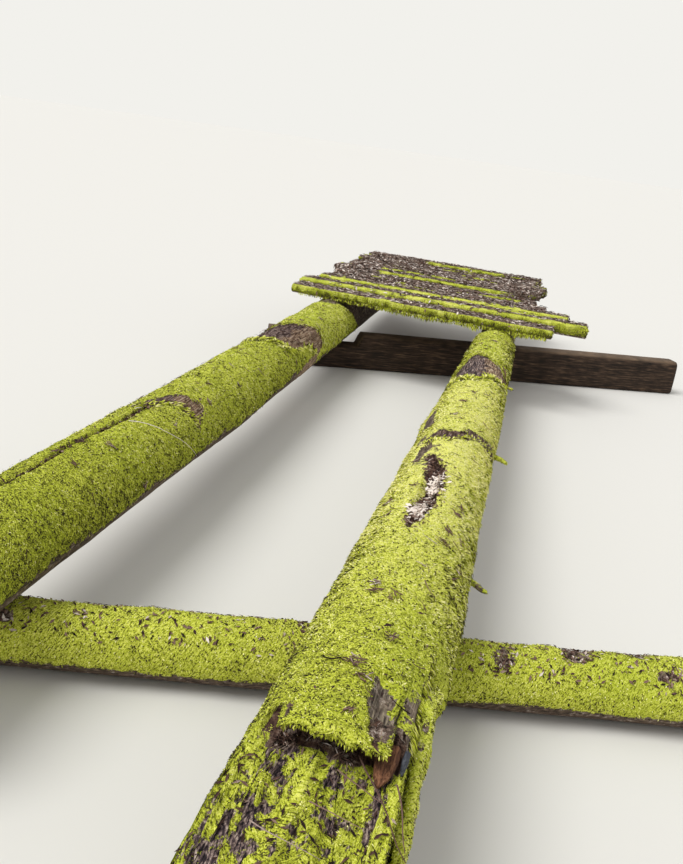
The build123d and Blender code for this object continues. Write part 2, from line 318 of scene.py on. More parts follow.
# How far in a broken end lies at each height
BUTT_PROFILE = np.array(
    [
        (SHELL_Z - 2 * SHELL_DROP, -2 * SHELL_REACH),
        (SHELL_Z, 0),
        (CAVITY_Z, CAVITY_DEPTH),
        (LIP_Z - UNDERCUT_RISE, UNDERCUT_DEPTH),
        (LIP_Z, 0.006),
        (LIP_Z + 0.02, 0),
        (LIP_Z + LIP_THICKNESS, 0.02),
    ]
)
LEFT_FALLS = ((0.5, 0), (0.255, 0), (0.24, 0.087), (0.125, 0.13), (0, 0.173))
LEFT_PROFILE = np.array([(LEFT_TOP - fall, depth) for fall, depth in LEFT_FALLS])

# Marks that a log's skin carries, each from 0 to 1, apart from the painted shade, which is negative where it
# paints light, and the ring's radius
LOG_MARKS = ("moss", "rot", "grey", "bare", "worn", "dim", "litter", "cut", "ring")

# Strips without moss across the logs: the log, how soft the edge is in metres, and at each angle in degrees
# the near and the far edge
STRIPS = {
    "right_first": (RIGHT, 0.07, [
        (-90, 3.6, 3.7), (-54, 3.3, 3.85), (-38, 3.19, 4.12), (-23, 3.2, 4.2), (0, 3.13, 4.09),
        (22, 3.36, 3.99), (43, 3.4, 3.94), (60, 3.5, 3.9), (95, 3.75, 4.05),
    ]),
    "right_second": (RIGHT, 0.05, [
        (-50, 1.64, 1.62), (-36, 1.59, 1.74), (-20, 1.57, 1.81), (0, 1.57, 1.78), (18, 1.7, 1.88),
        (30, 1.79, 1.9), (61, 1.86, 2.02), (95, 2.04, 2.1),
    ]),
    "left_first": (LEFT, 0.06, [
        (-70, 3.6, 3.9), (-36, 3.25, 4.06), (-14, 3.24, 4.03), (14, 3.31, 4.15), (34, 3.36, 4.33),
        (50, 3.42, 4.38), (61, 3.85, 4.41), (83, 4.05, 4.34), (100, 3.7, 4.2),
    ]),
    "left_second": (LEFT, 0.05, [
        (-40, 1.3, 1.28), (-12, 1.2, 1.38), (6, 1.25, 1.55), (27, 1.42, 1.63), (50, 1.44, 1.64),
        (64, 1.47, 1.57), (72, 1.5, 1.48),
    ]),
}

# Patches along a log: a place along it, and the middle angle and half width there, in degrees
ROT_PATCH = [
    (0.24, -6, 1), (0.36, -7, 6), (0.48, -5, 8.5), (0.6, -1.5, 9.5), (0.73, 1.5, 7), (0.85, 0, 8),
    (0.97, -3, 10), (1.16, -9, 8), (1.3, -20, 4),
]
ROT_POCKET = [(0.39, -4, 1), (0.6, -4, 9), (1.0, -4, 9), (1.21, -4, 1)]
SHAKE = [
    (-0.1, -7, 0.8), (0.07, -6, 2.2), (0.22, -5, 2.6), (0.45, -8, 3), (0.68, -4, 2.8), (0.94, 0, 3),
    (1.22, 1, 4),
]
HOLLOW = [
    (-1.15, 28, 2), (-1.1, 27, 9), (-1.04, 29, 14), (-0.98, 26, 14), (-0.94, 20, 9), (-0.9, 14, 4),
    (-0.86, 12, 2),
]
BUTT_POCKET = [(-1.15, 25, 4), (-0.98, 27, 11), (-0.84, 18, 2)]
RED_HOLE = [(-1.18, 24, 2), (-1.13, 24, 4.5), (-1.08, 23.5, 5), (-1.03, 24, 4), (-0.99, 24, 2)]
BUTT_FLANK = [(-1.12, 44, 8), (-0.98, 46, 15), (-0.84, 50, 16), (-0.74, 54, 6)]
LEFT_FLANK = [(1.6, -50, 3), (1.75, -54, 12), (2.1, -56, 15), (2.4, -60, 11), (2.8, -66, 3), (3.05, -70, 1)]
STREAK = [(1.2, -44, 2), (1.3, -41, 6), (1.48, -32, 7), (1.58, -27, 2)]
BESIDE_ROT = [(1.12, -26, 16), (1.52, -22, 18)]

# Patches of the right log where the moss is thin: how soft the edge is, how thin it is, and by how much
# that varies
THIN_PATCHES = (
    (BESIDE_ROT, 9, 0.5, 0), (BUTT_FLANK, 8, 0.3, 0), (ROT_PATCH, 12, 0.3, 0), (LEFT_FLANK, 8, 0.62, 0.8),
    (STREAK, 5, 0.7, 0),
)
CHIP_HEAPS = ((0.48, -5, 0.08), (0.83, 1, 0.11))

# Where the moss ends short of the deck: angles in degrees, and the place along the log at each
MOSS_ENDS = {
    RIGHT: ((-90, 0, 90), (5.45, 5.4, 5.5)),
    LEFT: ((-120, 0, 10, 41, 73, 122), (5.75, 5.3, 5.34, 5.52, 5.68, 6.05)),
}


def strip(y, degrees, table, soft):
    """One inside a bare strip: its near and far edges are joined lines over the angle."""
    angle, near, far = np.array(table).T
    inside = np.minimum(y - np.interp(degrees, angle, near), np.interp(degrees, angle, far) - y)
    return ease(-soft, soft, inside)


def patch(y, degrees, table, soft):
    """One inside a long patch: its middle angle and half width are joined lines along the log."""
    place, middle, half = np.array(table).T
    inside = np.interp(y, place, half) - np.abs(degrees - np.interp(y, place, middle))
    inside = np.where((y < place[0]) | (y > place[-1]), -9, inside)
    return ease(-soft, soft, inside)


def broken_face(log, profile, skew, x, z):
    """How far along a broken end lies: joined lines over the height, skewed across it and torn a little."""
    across = x - log_x(log, LIP_Y)
    spot = np.stack([x, np.zeros_like(x), z], -1)
    spot = spot + 0.03 * noise(spot, 0.11, 7)[..., None]
    torn = 0.016 * noise(spot, (0.05, 1, 0.2), 5) + 0.009 * noise(spot, (0.018, 1, 0.1), 6)
    start = LIP_Y if log is RIGHT else log.near_y
    depth = np.interp(z, profile[:, 0], profile[:, 1])
    return start + (depth - across * sin(skew)) / cos(skew) + torn


def log_marks(log, y, degrees, points):
    """Marks of a log's side. The moss fades out between 98 and 130 degrees from the crown, is taken off by
    the bare strips, the rot and the grey wood, thins on its patches and dwindles under the deck."""
    wide = noise(points, 0.5, 11)
    middle = noise(points, 0.09, 12)
    ragged = noise(points, 0.05, 16)
    side = np.abs(degrees)
    y = y + 0.04 * noise(points, 0.1, 13) + 0.03 * noise(points, 0.04, 14)
    crack_degrees = degrees + 0.8 * ragged
    degrees = degrees + 3 * ragged
    moss = 1 - ease(98, 130, side + 12 * wide + 12 * middle + 8 * noise(points, 0.03, 17))
    bare = sum(strip(y, degrees, table, soft) for owner, soft, table in STRIPS.values() if owner is log)
    if log is RIGHT:
        hole = patch(y, degrees, RED_HOLE, 2)
        rot = patch(y, degrees, ROT_PATCH, 3) + hole
        rot = np.maximum(rot, 0.4 * strip(y, degrees, STRIPS["right_second"][2], 0.05))
        flank = np.clip(0.3 + 0.6 * middle, 0, 1) * patch(y, degrees, BUTT_FLANK, 8)
        grey = np.maximum(patch(y, degrees, HOLLOW, 3), flank) * (1 - hole)
        thin = ease(60, 100, degrees) * 0.15
        for table, soft, share, spread in THIN_PATCHES:
            thin = thin + (share + spread * middle) * patch(y, degrees, table, soft)
        worn = np.where(y > 2.6, ease(-8, 14, degrees + 12 * middle), 0.35 + 0.3 * middle)
        # Painted light: pale is painted sunlight, paler moss round 1.7 m along the log and darker towards the
        # butt, and the painted shade darkens the flanks beyond 70 degrees from the crown
        pale = np.exp(-(((y - 1.7) / 1.3) ** 2)) - 0.35 * ease(0.2, -1.0, y)
        dim = 0.35 * ease(70, 115, side) - 2.3 * pale - 0.35
    else:
        rot = np.maximum(patch(y, crack_degrees, SHAKE, 1.4), 0.3 * np.clip(bare, 0, 1))
        grey = np.zeros_like(y)
        thin = ease(88, 116, degrees) * 0.4
        worn = ease(6, 34, degrees + 12 * middle)
        # Painted shade: the left log is darker near its butt and on its +X flank and underside, and lighter
        # beyond 2.6 m along it
        dim = 0.25 + 0.3 * ease(1.4, -0.6, y) - 0.5 * ease(2.6, 4.6, y) + 0.5 * ease(55, 105, degrees)
    bare = np.clip(bare, 0, 1)
    moss = moss * (1 - bare) * (1 - rot) * (1 - grey) - thin
    shaded = ease(-0.02, 0.08, y - np.interp(degrees, *MOSS_ENDS[log]))
    moss = moss * (1 - shaded) + shaded * 0.34 * (1 - ease(70, 110, side)) * (1 + wide)
    marks = {"moss": np.clip(moss, 0, 1), "rot": rot, "grey": grey, "bare": bare, "worn": worn}
    return marks | {"dim": dim + 0.25 * wide}


def grid_normals(points):
    """Outward directions of a tube's grid: the way round crossed with the way along."""
    along = np.gradient(points, axis=0)
    around = np.roll(points, -1, 1) - np.roll(points, 1, 1)
    return unit(np.cross(around, along))


def log_side(log, y, turn):
    """Places on a log's bare side: the round skin less the depth of its pockets and with its bulge, lowered
    to its flats at the lost slabs and the deck, raised to its seats on the sills, and cut flat on the lost
    flank."""
    degrees = np.degrees(turn)
    if log is RIGHT:
        cut = POCKET_DEPTH * patch(y, degrees, ROT_POCKET, 4)
        cut = cut + POCKET_DEPTH * patch(y, degrees, BUTT_POCKET, 9)
        off = -(((y - BULGE_Y) / BULGE_LENGTH) ** 2) - ((degrees - BULGE_DEGREES) / BULGE_WIDTH) ** 2
        cut = cut - BULGE_HEIGHT * np.exp(off)
    else:
        cut = SHAKE_DEPTH * patch(y, degrees, SHAKE, 1.6)
    base = log_point(log, y, degrees, -cut)
    for middle, yaw in OLD_SEATS:
        within = ease(0.14, 0.11, np.abs(y - middle - log.x * tan(yaw)))
        base[..., 2] -= within * np.maximum(base[..., 2] - (log_crown(log, y) - OLD_SEAT_DEPTH), 0)
    base[..., 2] -= ease(-0.015, -0.005, past_deck_edge(base)) * np.maximum(base[..., 2] - DECK_SEAT, 0)
    for sill, skew, width, seat in (
        (0, NEAR_SKEW, 2 * SILL_RADIUS, NEAR_SEAT),
        (SPAN, FAR_SKEW, FAR_SILL_WIDTH, far_seat(log)),
    ):
        away = np.abs(y - sill - base[..., 0] * tan(skew)) * cos(skew)
        within = ease(width / 2 + SEAT_MARGIN + 0.005, width / 2 + SEAT_MARGIN - 0.005, away)
        base[..., 2] += within * np.maximum(seat - base[..., 2], 0)
    if log is RIGHT:
        lost = ease(0.03, -0.12, y - FLANK_Y)
        base[..., 0] -= lost * np.maximum(base[..., 0] - FLANK_X, 0)
    return base


def stringer_grid(log, profile, skew, middle_z, columns, rings, rows):
    """A stringer's closed skin as one grid: rings from the middle of the broken end out to its rim, evenly
    spaced along its profile, rows along the side that lie closer together near the end, and rings across
    the far end."""
    turn = np.linspace(-pi, pi, columns, endpoint=False)
    rim = np.full(columns, log.near_y + 0.3)
    for _ in range(24):
        spot = log_side(log, rim, turn)
        rim = (rim + np.maximum(broken_face(log, profile, skew, spot[:, 0], spot[:, 2]), log.near_y)) / 2
    edge = log_side(log, rim, turn)
    length = np.concatenate([[0], np.cumsum(np.hypot(*np.diff(profile, axis=0).T))])
    share = (np.arange(1, rings) / rings)[:, None]
    first = np.interp(middle_z, profile[:, 0], length)
    last = np.interp(edge[:, 2], profile[:, 0], length)
    z = np.interp(first + (last - first) * share, length, profile[:, 0])
    middle_x = float(log_x(log, rim.mean()))
    x = middle_x + (edge[:, 0] - middle_x) * share
    front = np.stack([x, np.maximum(broken_face(log, profile, skew, x, z), log.near_y), z], -1)
    bent = front + 0.03 * noise(front, 0.1, 8)[..., None]
    ribs = 0.017 * noise(bent, (0.034, 0.3, 0.2), 3) + 0.009 * noise(bent, (0.013, 0.12, 0.1), 4)
    front[..., 2] += ribs * (1 - share**4) * ease(0.0, 0.1, share) * (front[..., 1] > log.near_y + 0.001)
    y = rim + (FAR_END - rim) * np.linspace(0, 1, rows)[:, None] ** 1.25
    turns = np.broadcast_to(turn, y.shape)
    side = log_side(log, y, turns)
    back_rings = rings // 4
    share = (np.arange(back_rings - 1, 0, -1) / back_rings)[:, None]
    radius = log_radius(log, FAR_END)
    middle = np.array([log_x(log, FAR_END), FAR_END, log_crown(log, FAR_END) - radius])
    back = middle + (side[-1] - middle) * share[..., None]
    back[..., 1] -= 0.006 * (1 + noise(back, (0.05, 1, 0.02), 15)) * np.sqrt(1 - share**2)
    points = np.concatenate([front, side, back])
    marks = {name: np.zeros(points.shape[:2]) for name in LOG_MARKS}
    for name, value in log_marks(log, y, np.degrees(turns), side).items():
        marks[name][rings - 1 : rings - 1 + rows] = value
    marks["cut"][rings - 1 + rows :] = 1
    marks["ring"][rings - 1 + rows :] = share * float(radius)
    return points, marks, rings - 1


def dress_log(log, points, marks, rings):
    """Moves a skin along its normals: moss rises in cushions of three noises, and fibres, drawn out along
    the log, are cut into the bare wood. Flats under the deck and the far end stay as they are."""
    fibre = noise(points, (0.016, 0.35, 0.016), 21) + 0.6 * noise(points, (0.008, 0.12, 0.008), 22)
    cushion = noise(points, 0.3, 23) * 0.007 + noise(points, 0.07, 24) * 0.0045
    cushion = cushion + noise(points, 0.025, 25) * 0.003
    moss = marks["moss"]
    lift = moss * (cushion - 0.004) + (1 - moss) * (fibre * 0.0035 - 0.016)
    lift = lift + marks["rot"] * (0.006 + 0.008 * noise(points, 0.02, 26))
    lift = lift + marks["grey"] * (0.006 - 0.002 * fibre)
    lift[marks["cut"] > 0] = 0
    on_flat = ease(-0.03, 0.0, past_deck_edge(points)) * (np.abs(points[..., 2] - DECK_SEAT) < 0.002)
    lift = lift * (1 - on_flat)
    normals = grid_normals(points)
    lift[:rings] *= ease(0, 6, np.arange(rings))[:, None]
    points = points + normals * lift[..., None]
    points[..., 1] = np.clip(points[..., 1], log.near_y - 0.01, FAR_END)
    return points


# Meshes


def tube_faces(rows, columns):
    """Quads between neighbouring rows of a tube whose columns close on themselves."""
    start = np.arange(rows - 1)[:, None] * columns
    here = start + np.arange(columns)
    beside = start + (np.arange(columns) + 1) % columns
    return np.stack([here, beside, beside + columns, here + columns], -1).reshape(-1, 4)


def add_piece(name, points, faces, marks, material, replaced=(), smooth=True):
    """Makes a piece from points, faces and marks on its points, and lets it ride on the bridge."""
    mesh = bpy.data.meshes.new(name)
    mesh.from_pydata(points.tolist(), [], faces)
    for mark, value in marks.items():
        layer = mesh.attributes.new(mark, "FLOAT", "POINT")
        layer.data.foreach_set("value", np.ascontiguousarray(value, np.float32))
    if smooth:
        mesh.shade_smooth()
    mesh.materials.append(material)
    piece = bpy.data.objects.new(name, mesh)
    bpy.context.scene.collection.objects.link(piece)
    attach(piece, "root")
    if replaced:
        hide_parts(*replaced)


def add_skin(node, points, marks, material, slot="mossy_wood"):
    """The skin that stands for a node of the part: a grid of rings made a closed mesh, with quads along it,
    a fan to one point at each end, and marks for the distances along and round it."""
    rows, columns = points.shape[:2]
    count = rows * columns
    flat = np.concatenate([points.reshape(-1, 3), [points[0].mean(0)], [points[-1].mean(0)]])
    steps = np.linalg.norm(np.diff(points.mean(1), axis=0), axis=-1)
    round_it = np.cumsum(np.linalg.norm(np.diff(points, axis=1, prepend=points[:, :1]), axis=-1), 1)
    marks = marks | {
        "along": np.broadcast_to(np.concatenate([[0], np.cumsum(steps)])[:, None], (rows, columns)),
        "round": np.abs(round_it - round_it[:, -1:] / 2),
    }
    flat_marks = {
        mark: np.concatenate([value.ravel(), [value[0].mean()], [value[-1].mean()]])
        for mark, value in marks.items()
    }
    here = np.arange(columns)
    beside = (here + 1) % columns
    last = count - columns
    start_fan = np.stack([np.full(columns, count), beside, here], -1)
    end_fan = np.stack([np.full(columns, count + 1), here + last, beside + last], -1)
    faces = tube_faces(rows, columns).tolist() + start_fan.tolist() + end_fan.tolist()
    name = f"{node}_skin"
    grids[name] = (points, marks)
    add_piece(name, flat, faces, flat_marks, material, (node,))


def scatter(skin, count, weight, rng):
    """Random places on a skin's cells, as likely as the cell's area times its weight, with their normals."""
    if skin not in grids:
        raise RuntimeError(f"{skin} comes before what lies on it")
    points, marks = grids[skin]
    along = points[1:] - points[:-1]
    around = (np.roll(points, -1, 1) - points)[:-1]
    across = np.cross(around, along)
    area = np.linalg.norm(across, axis=-1)
    chance = area * np.maximum(weight(points, marks)[:-1], 0)
    chosen = rng.choice(chance.size, size=count, p=chance.ravel() / chance.sum())
    cell = np.divmod(chosen, points.shape[1])
    place = points[cell] + along[cell] * rng.random((count, 1)) + around[cell] * rng.random((count, 1))
    return place, unit(across[cell]), {mark: value[cell] for mark, value in marks.items()}


def add_leaves(name, base, aim, up, length, width, tone, material, curl=0.12):
    """Folded leaf shapes of two triangles each: base, two shoulders out to the sides and a drooping tip."""
    side = unit(np.cross(aim, up)) * (width / 2)[:, None]
    shoulder = base + aim * (0.45 * length)[:, None] + up * (curl * length)[:, None]
    tip = base + aim * length[:, None]
    points = np.stack([base, shoulder - side, tip, shoulder + side], 1).reshape(-1, 3)
    first = np.arange(len(base)) * 4
    halves = [np.stack([first, first + second, first + third], -1) for second, third in ((3, 2), (2, 1))]
    faces = np.concatenate(halves).tolist()
    add_piece(name, points, faces, {"tone": np.repeat(tone, 4)}, material, smooth=False)


def add_twigs(name, paths, thickness, tone, material):
    """Twigs as three-sided tubes along their own bent paths, thinner towards the tip, closed at both ends."""
    count, stations = paths.shape[:2]
    along = unit(np.gradient(paths, axis=1))
    first = unit(np.cross(along, np.array([0.31, 0.17, 0.94])))
    second = np.cross(along, first)
    corner = np.arange(3) * 2 * pi / 3
    thin = thickness[:, None] * np.linspace(1, 0.45, stations)
    rings = paths[:, :, None] + thin[..., None, None] / 2 * (
        np.cos(corner)[:, None] * first[:, :, None] + np.sin(corner)[:, None] * second[:, :, None]
    )
    ends = np.arange(count) * stations * 3
    sides = (ends[:, None, None] + tube_faces(stations, 3)).reshape(-1, 4).tolist()
    low = np.stack([ends + 2, ends + 1, ends], -1).tolist()
    high = (np.stack([ends, ends + 1, ends + 2], -1) + (stations - 1) * 3).tolist()
    marks = {"tone": np.repeat(tone, stations * 3)}
    add_piece(name, rings.reshape(-1, 3), sides + low + high, marks, material)


# Materials. Moss shoots are 2 to 3 mm wide, wood fibres under 1 mm and growth rings 1 to 4 mm, which is too
# fine to show from this far, so moss is drawn in specks of 6 mm, fibres 4 to 12 mm wide and rings 11 mm
# apart.


def add_node(tree, kind, sockets=None, out=0, stops=(), **settings):
    """Adds a shader node, sets its properties, sets or links its sockets, fills its colour ramp with places
    and colours, and gives one of its outputs."""
    node = tree.nodes.new("ShaderNode" + kind)
    for key, value in settings.items():
        setattr(node, key, value)
    for key, value in (sockets or {}).items():
        if isinstance(value, bpy.types.NodeSocket):
            tree.links.new(value, node.inputs[key])
        else:
            node.inputs[key].default_value = value
    if stops:
        for _ in stops[2:]:
            node.color_ramp.elements.new(0.5)
        for element, (place, colour) in zip(node.color_ramp.elements, stops):
            element.position = place
            element.color = linear(colour) if isinstance(colour, str) else colour
    return node.outputs[out] if len(node.outputs) else None


def new_material(name):
    """An empty material with a Principled shader joined to its output, or the one that was made before."""
    material = bpy.data.materials.get(name)
    if material is not None:
        return material, None, None
    material = bpy.data.materials.new(name)
    material.use_nodes = True
    tree = material.node_tree
    tree.nodes.clear()
    shader = add_node(tree, "BsdfPrincipled")
    add_node(tree, "OutputMaterial", {"Surface": shader})
    return material, tree, shader.node


def finish_surface(tree, shader, colour, roughness, specular, relief=()):
    """Joins the colour and the relief, as a height, a strength and a distance, to the shader, and sets its
    gloss."""
    tree.links.new(colour, shader.inputs["Base Color"])
    if relief:
        bump = add_node(tree, "Bump", dict(zip(("Height", "Strength", "Distance"), relief)))
        tree.links.new(bump, shader.inputs["Normal"])
    shader.inputs["Roughness"].default_value = roughness
    shader.inputs["Specular IOR Level"].default_value = specular


def mossy_wood(settings, fibres="y"):
    """Feather moss over redwood. The moss is a deep pile of shoots 5 to 7 mm apart, so it reads as bright
    tips over dark gaps. The wood under it is weathered bark or split wood: long soft fibres, dull and dark
    brown, red where it rots, grey where it is bare. Litter lies on it as specks of 10 to 20 mm."""
    material, tree, shader = new_material(f"feather_moss_over_redwood_{fibres}")
    if tree is None:
        return material
    place = add_node(tree, "TexCoord", out="Object")
    keys = (*LOG_MARKS, "along", "round")
    mark = {key: add_node(tree, "Attribute", out="Fac", attribute_name=key) for key in keys}
    # Strands 20 mm long and 6.5 mm wide slant round the log, and fibres run twenty times as long as they
    # are wide
    flow = add_node(tree, "CombineXYZ", {"X": mark["along"], "Y": mark["round"]})
    slant = {"Vector": flow, "Rotation": (0, 0, radians(-58)), "Scale": (0.02, 0.0065, 1)}
    slanted = add_node(tree, "Mapping", slant, vector_type="TEXTURE")
    stretch = {"y": (1, 0.05, 1), "x": (0.05, 1, 1)}[fibres]
    lined = add_node(tree, "Mapping", {"Vector": place, "Scale": stretch})
    strands, sparks, clumps, drifts, fibre, specks, spots, ragged = (
        add_node(tree, "TexNoise", dict(zip(("Vector", "Scale", "Detail", "Roughness"), row)))
        for row in (
            (slanted, 1.0, 3, 0.7),
            (place, 1 / 0.006, 2, 0.7),
            (place, 1 / 0.05, 2, 0.5),
            (place, 1 / 0.55, 2, 0.5),
            (lined, 1 / 0.007, 4, 0.65),
            (place, 1 / 0.022, 4, 0.75),
            (place, 1 / 0.09, 4, 0.7),
            (place, 1 / 0.03, 4, 0.75),
        )
    )
    shoots = add_node(tree, "Mix", {0: 0.5, 2: strands, 3: sparks}, data_type="FLOAT")
    # lit places the moss ramp by the shoot noise less the painted shade mark, so the moss is darker where
    # that mark is positive and paler where it is negative
    lit, wear, edge = (
        add_node(tree, "Math", dict(enumerate(row)), operation="MULTIPLY_ADD")
        for row in ((mark["dim"], -0.06, shoots), (spots, 1.8, mark["worn"]), (ragged, 1.6, mark["moss"]))
    )
    turns = add_node(tree, "Math", {0: mark["ring"], 1: 2 * pi / 0.011}, operation="MULTIPLY")
    rings = add_node(tree, "Math", {0: turns}, operation="SINE")
    # clump_shade is painted shade: the moss colour is multiplied by 0.8 to 1 in 50 mm clumps of noise, for
    # the hollows between them
    green, parted, clump_shade, dirty, worn, cover = (
        add_node(tree, "MapRange", dict(zip(("Value", "From Min", "From Max", "To Min", "To Max"), row)))
        for row in (
            (drifts, 0.45, 0.7, 0.0, 0.4),
            (strands, 0.35, 0.45, 0.8, 0.0),
            (clumps, 0.32, 0.5, 0.8, 1.0),
            (clumps, 0.48, 0.6, 0.0, 0.55),
            (wear, 1.28, 1.66, 0.0, 1.0),
            (edge, 1.2, 1.32, 0.0, 1.0),
        )
    )
    moss = (settings.moss_gap, settings.moss_shade, settings.moss_body, settings.moss_tip)
    bark = (settings.bark_crack, settings.bark_body, settings.bark_light, "A8927E")
    colours = {"fresh": settings.moss_green, "gap": settings.moss_gap}
    for name, value, places, tones in (
        ("moss", lit, (0.38, 0.43, 0.5, 0.6), moss),
        ("wood", fibre, (0.32, 0.46, 0.6, 0.75), bark),
        ("crumbs", specks, (0.38, 0.47, 0.56, 0.66), ("1E1713", "5A483D", "99877A", "E0D4C8")),
        ("band", fibre, (0.39, 0.47, 0.55, 0.64), ("151113", "3E3337", "7C6862", "C0AEA0")),
        ("worn_band", fibre, (0.38, 0.46, 0.54, 0.64), ("33271F", "7E624A", "AE947A", "DCCAAE")),
        ("rotten", specks, (0.35, 0.5, 0.64, 0.76), ("2D1A15", "5E4338", "866752", "A8906C")),
        ("grey", fibre, (0.37, 0.5, 0.64), ("302926", "776C5E", "B8A98F")),
        ("end_grain", rings, (0.0, 0.9), ("54443A", "8E7866")),
    ):
        colours[name] = add_node(tree, "ValToRGB", {"Fac": value}, stops=list(zip(places, tones)))
    # What lies under, how much of it is covered, and by what
    for under, share, over in (
        ("band", worn, "worn_band"),
        ("grey", dirty, "crumbs"),
        ("end_grain", dirty, "crumbs"),
        ("wood", dirty, "crumbs"),
        ("wood", mark["bare"], "band"),
        ("wood", mark["rot"], "rotten"),
        ("wood", mark["grey"], "grey"),
        ("wood", mark["litter"], "crumbs"),
        ("wood", mark["cut"], "end_grain"),
        ("moss", green, "fresh"),
        ("moss", parted, "gap"),
    ):
        sockets = {0: share, 6: colours[under], 7: colours[over]}
        colours[under] = add_node(tree, "Mix", sockets, 2, data_type="RGBA")
    sockets = {0: 1.0, 6: colours["moss"], 7: clump_shade}
    moss = add_node(tree, "Mix", sockets, 2, data_type="RGBA", blend_type="MULTIPLY")
    colour = add_node(tree, "Mix", {0: cover, 6: colours["wood"], 7: moss}, 2, data_type="RGBA")
    height = add_node(tree, "Mix", {0: cover, 2: fibre, 3: shoots}, data_type="FLOAT")
    finish_surface(tree, shader, colour, 0.9, 0.2, (height, 0.9, 0.006))
    return material


def plain_wood(name, stops, fibres, grain, roughness):
    """Weathered wood of one kind: long fibres of the grain's width run along it, light ridges over dark
    grooves, paler where its edge mark is set and darker in stains."""
    material, tree, shader = new_material(name)
    if tree is None:
        return material
    place = add_node(tree, "TexCoord", out="Object")
    lined = add_node(tree, "Mapping", {"Vector": place, "Scale": fibres})
    fibre = add_node(tree, "TexNoise", {"Vector": lined, "Scale": 1 / grain, "Detail": 5, "Roughness": 0.65})
    colour = add_node(tree, "ValToRGB", {"Fac": fibre}, stops=stops)
    # The edge mark, held here as worn, mixes the wood towards its palest colour
    worn = add_node(tree, "Attribute", out="Fac", attribute_name="edge")
    colour = add_node(tree, "Mix", {0: worn, 6: colour, 7: linear(stops[-1][1])}, 2, data_type="RGBA")
    stain = add_node(tree, "TexNoise", {"Vector": place, "Scale": 1 / 0.12, "Detail": 3})
    sockets = {"Value": stain, "From Min": 0.35, "From Max": 0.6, "To Min": 0.6, "To Max": 1.0}
    sockets = {0: 1.0, 6: colour, 7: add_node(tree, "MapRange", sockets)}
    colour = add_node(tree, "Mix", sockets, 2, data_type="RGBA", blend_type="MULTIPLY")
    finish_surface(tree, shader, colour, roughness, 0.3, (fibre, 0.8, 0.004))
    return material


def hewn_redwood():
    """Redwood hewn with an axe and weathered damp: dark brown and matt, in wide flat ridges 12 mm apart."""
    stops = ((0.3, "14100D"), (0.5, "3A2C22"), (0.62, "5E4A3A"), (0.78, "86705A"))
    return plain_wood("hewn_redwood", stops, (0.06, 0.1, 1), 0.012, 0.85)


def rotten_heartwood():
    """Redwood heartwood split and gone soft: warm red-brown, dry and quite matt, in threads about 5 mm
    apart."""
    stops = ((0.3, "2A1A14"), (0.48, "69442F"), (0.62, "94684A"), (0.76, "BE9876"))
    return plain_wood("rotten_redwood_heartwood", stops, (1, 0.08, 1), 0.005, 0.9)


def grey_redwood():
    """Redwood split and long bare: bleached to a cold grey, with the faint gloss of hard dry fibres 4 mm
    apart."""
    stops = ((0.3, "202226"), (0.5, "3F434B"), (0.7, "73777F"))
    return plain_wood("weathered_grey_redwood", stops, (1, 0.08, 1), 0.004, 0.6)


def toned(name, stops):
    """Leaves, shoots or twigs: each has its own tone, read from a mark on its points, so that no two match,
    and fine veins of 4 mm shift it by up to an eighth."""
    material, tree, shader = new_material(name)
    if tree is None:
        return material
    tone = add_node(tree, "Attribute", out="Fac", attribute_name="tone")
    place = add_node(tree, "TexCoord", out="Object")
    vein = add_node(tree, "TexNoise", {"Vector": place, "Scale": 1 / 0.004, "Detail": 2})
    shift = add_node(tree, "Math", {0: vein, 1: 0.25, 2: tone}, operation="MULTIPLY_ADD")
    shift = add_node(tree, "Math", {0: shift, 1: 0.125}, operation="SUBTRACT")
    colour = add_node(tree, "ValToRGB", {"Fac": shift}, stops=stops)
    finish_surface(tree, shader, colour, 0.85, 0.2)
    return material


def moss_shoot(settings):
    """Shoots of feather moss: soft and matt, pale yellow-green at the tips, olive below and brown where
    dead."""
    live = ((0.38, settings.moss_shade), (0.6, settings.moss_body), (0.84, settings.moss_tip))
    return toned("feather_moss_shoots", ((0.04, "2C231B"), (0.2, "625A28"), *live, (1.0, "F8F4B4")))


def litter_wood():
    """Needles, twigs and bark crumbs of redwood: dry, matt, pinkish brown with a few pale ones."""
    stops = ((0.0, "1C1310"), (0.33, "543C35"), (0.62, "937768"), (0.88, "F6EADF"))
    return toned("dry_redwood_litter", stops)


# The pieces


def colour(name, description, code):
    """A colour that a user can change, with its sRGB hex code as the default."""
    looks = {"size": 4, "subtype": "COLOR", "default": linear(code)}
    return FloatVectorProperty(name=name, description=description, **looks)


class FootbridgeSettings(bpy.types.PropertyGroup):
    """Sizes and colours of the footbridge that a user would change."""

    shoot_length: FloatProperty(
        name="Moss shoot length",
        description="Length of a moss shoot at the butt",
        default=0.0095,
        unit="LENGTH",
    )
    shoot_count: IntProperty(
        name="Moss shoots", description="Shoots on the right log", default=92000, min=1000
    )
    litter_count: IntProperty(
        name="Deck litter", description="Bits of litter on the deck", default=13000, min=10
    )
    moss_tip: colour("Moss tips", "Tips of the moss", "EEEE7C")
    moss_body: colour("Moss", "Body of the moss", "CAD23E")
    moss_green: colour("Fresh moss", "Greener drifts in the moss", "A9B928")
    moss_shade: colour("Moss shade", "Older moss", "939A26")
    moss_gap: colour("Moss gaps", "Dark between the shoots", "3A311D")
    # Bark colours: dark redwood bark, set darker still as painted shade for the undersides of the logs, which
    # face the pale floor
    bark_crack: colour("Bark cracks", "Cracks in the bark", "1F1917")
    bark_body: colour("Bark", "Body of the bark", "4A3D35")
    bark_light: colour("Bark ridges", "Worn ridges of the bark", "746352")
    floor_colour: colour("Floor", "Colour of the floor", "E4E2DC")
    backdrop_colour: colour("Backdrop", "Colour behind the floor", "F2F1EC")
    key_strength: FloatProperty(name="Key light", description="Strength of the key light", default=1.9, min=0)
    sky_strength: FloatProperty(name="Sky light", description="Strength of even light", default=0.62, min=0)


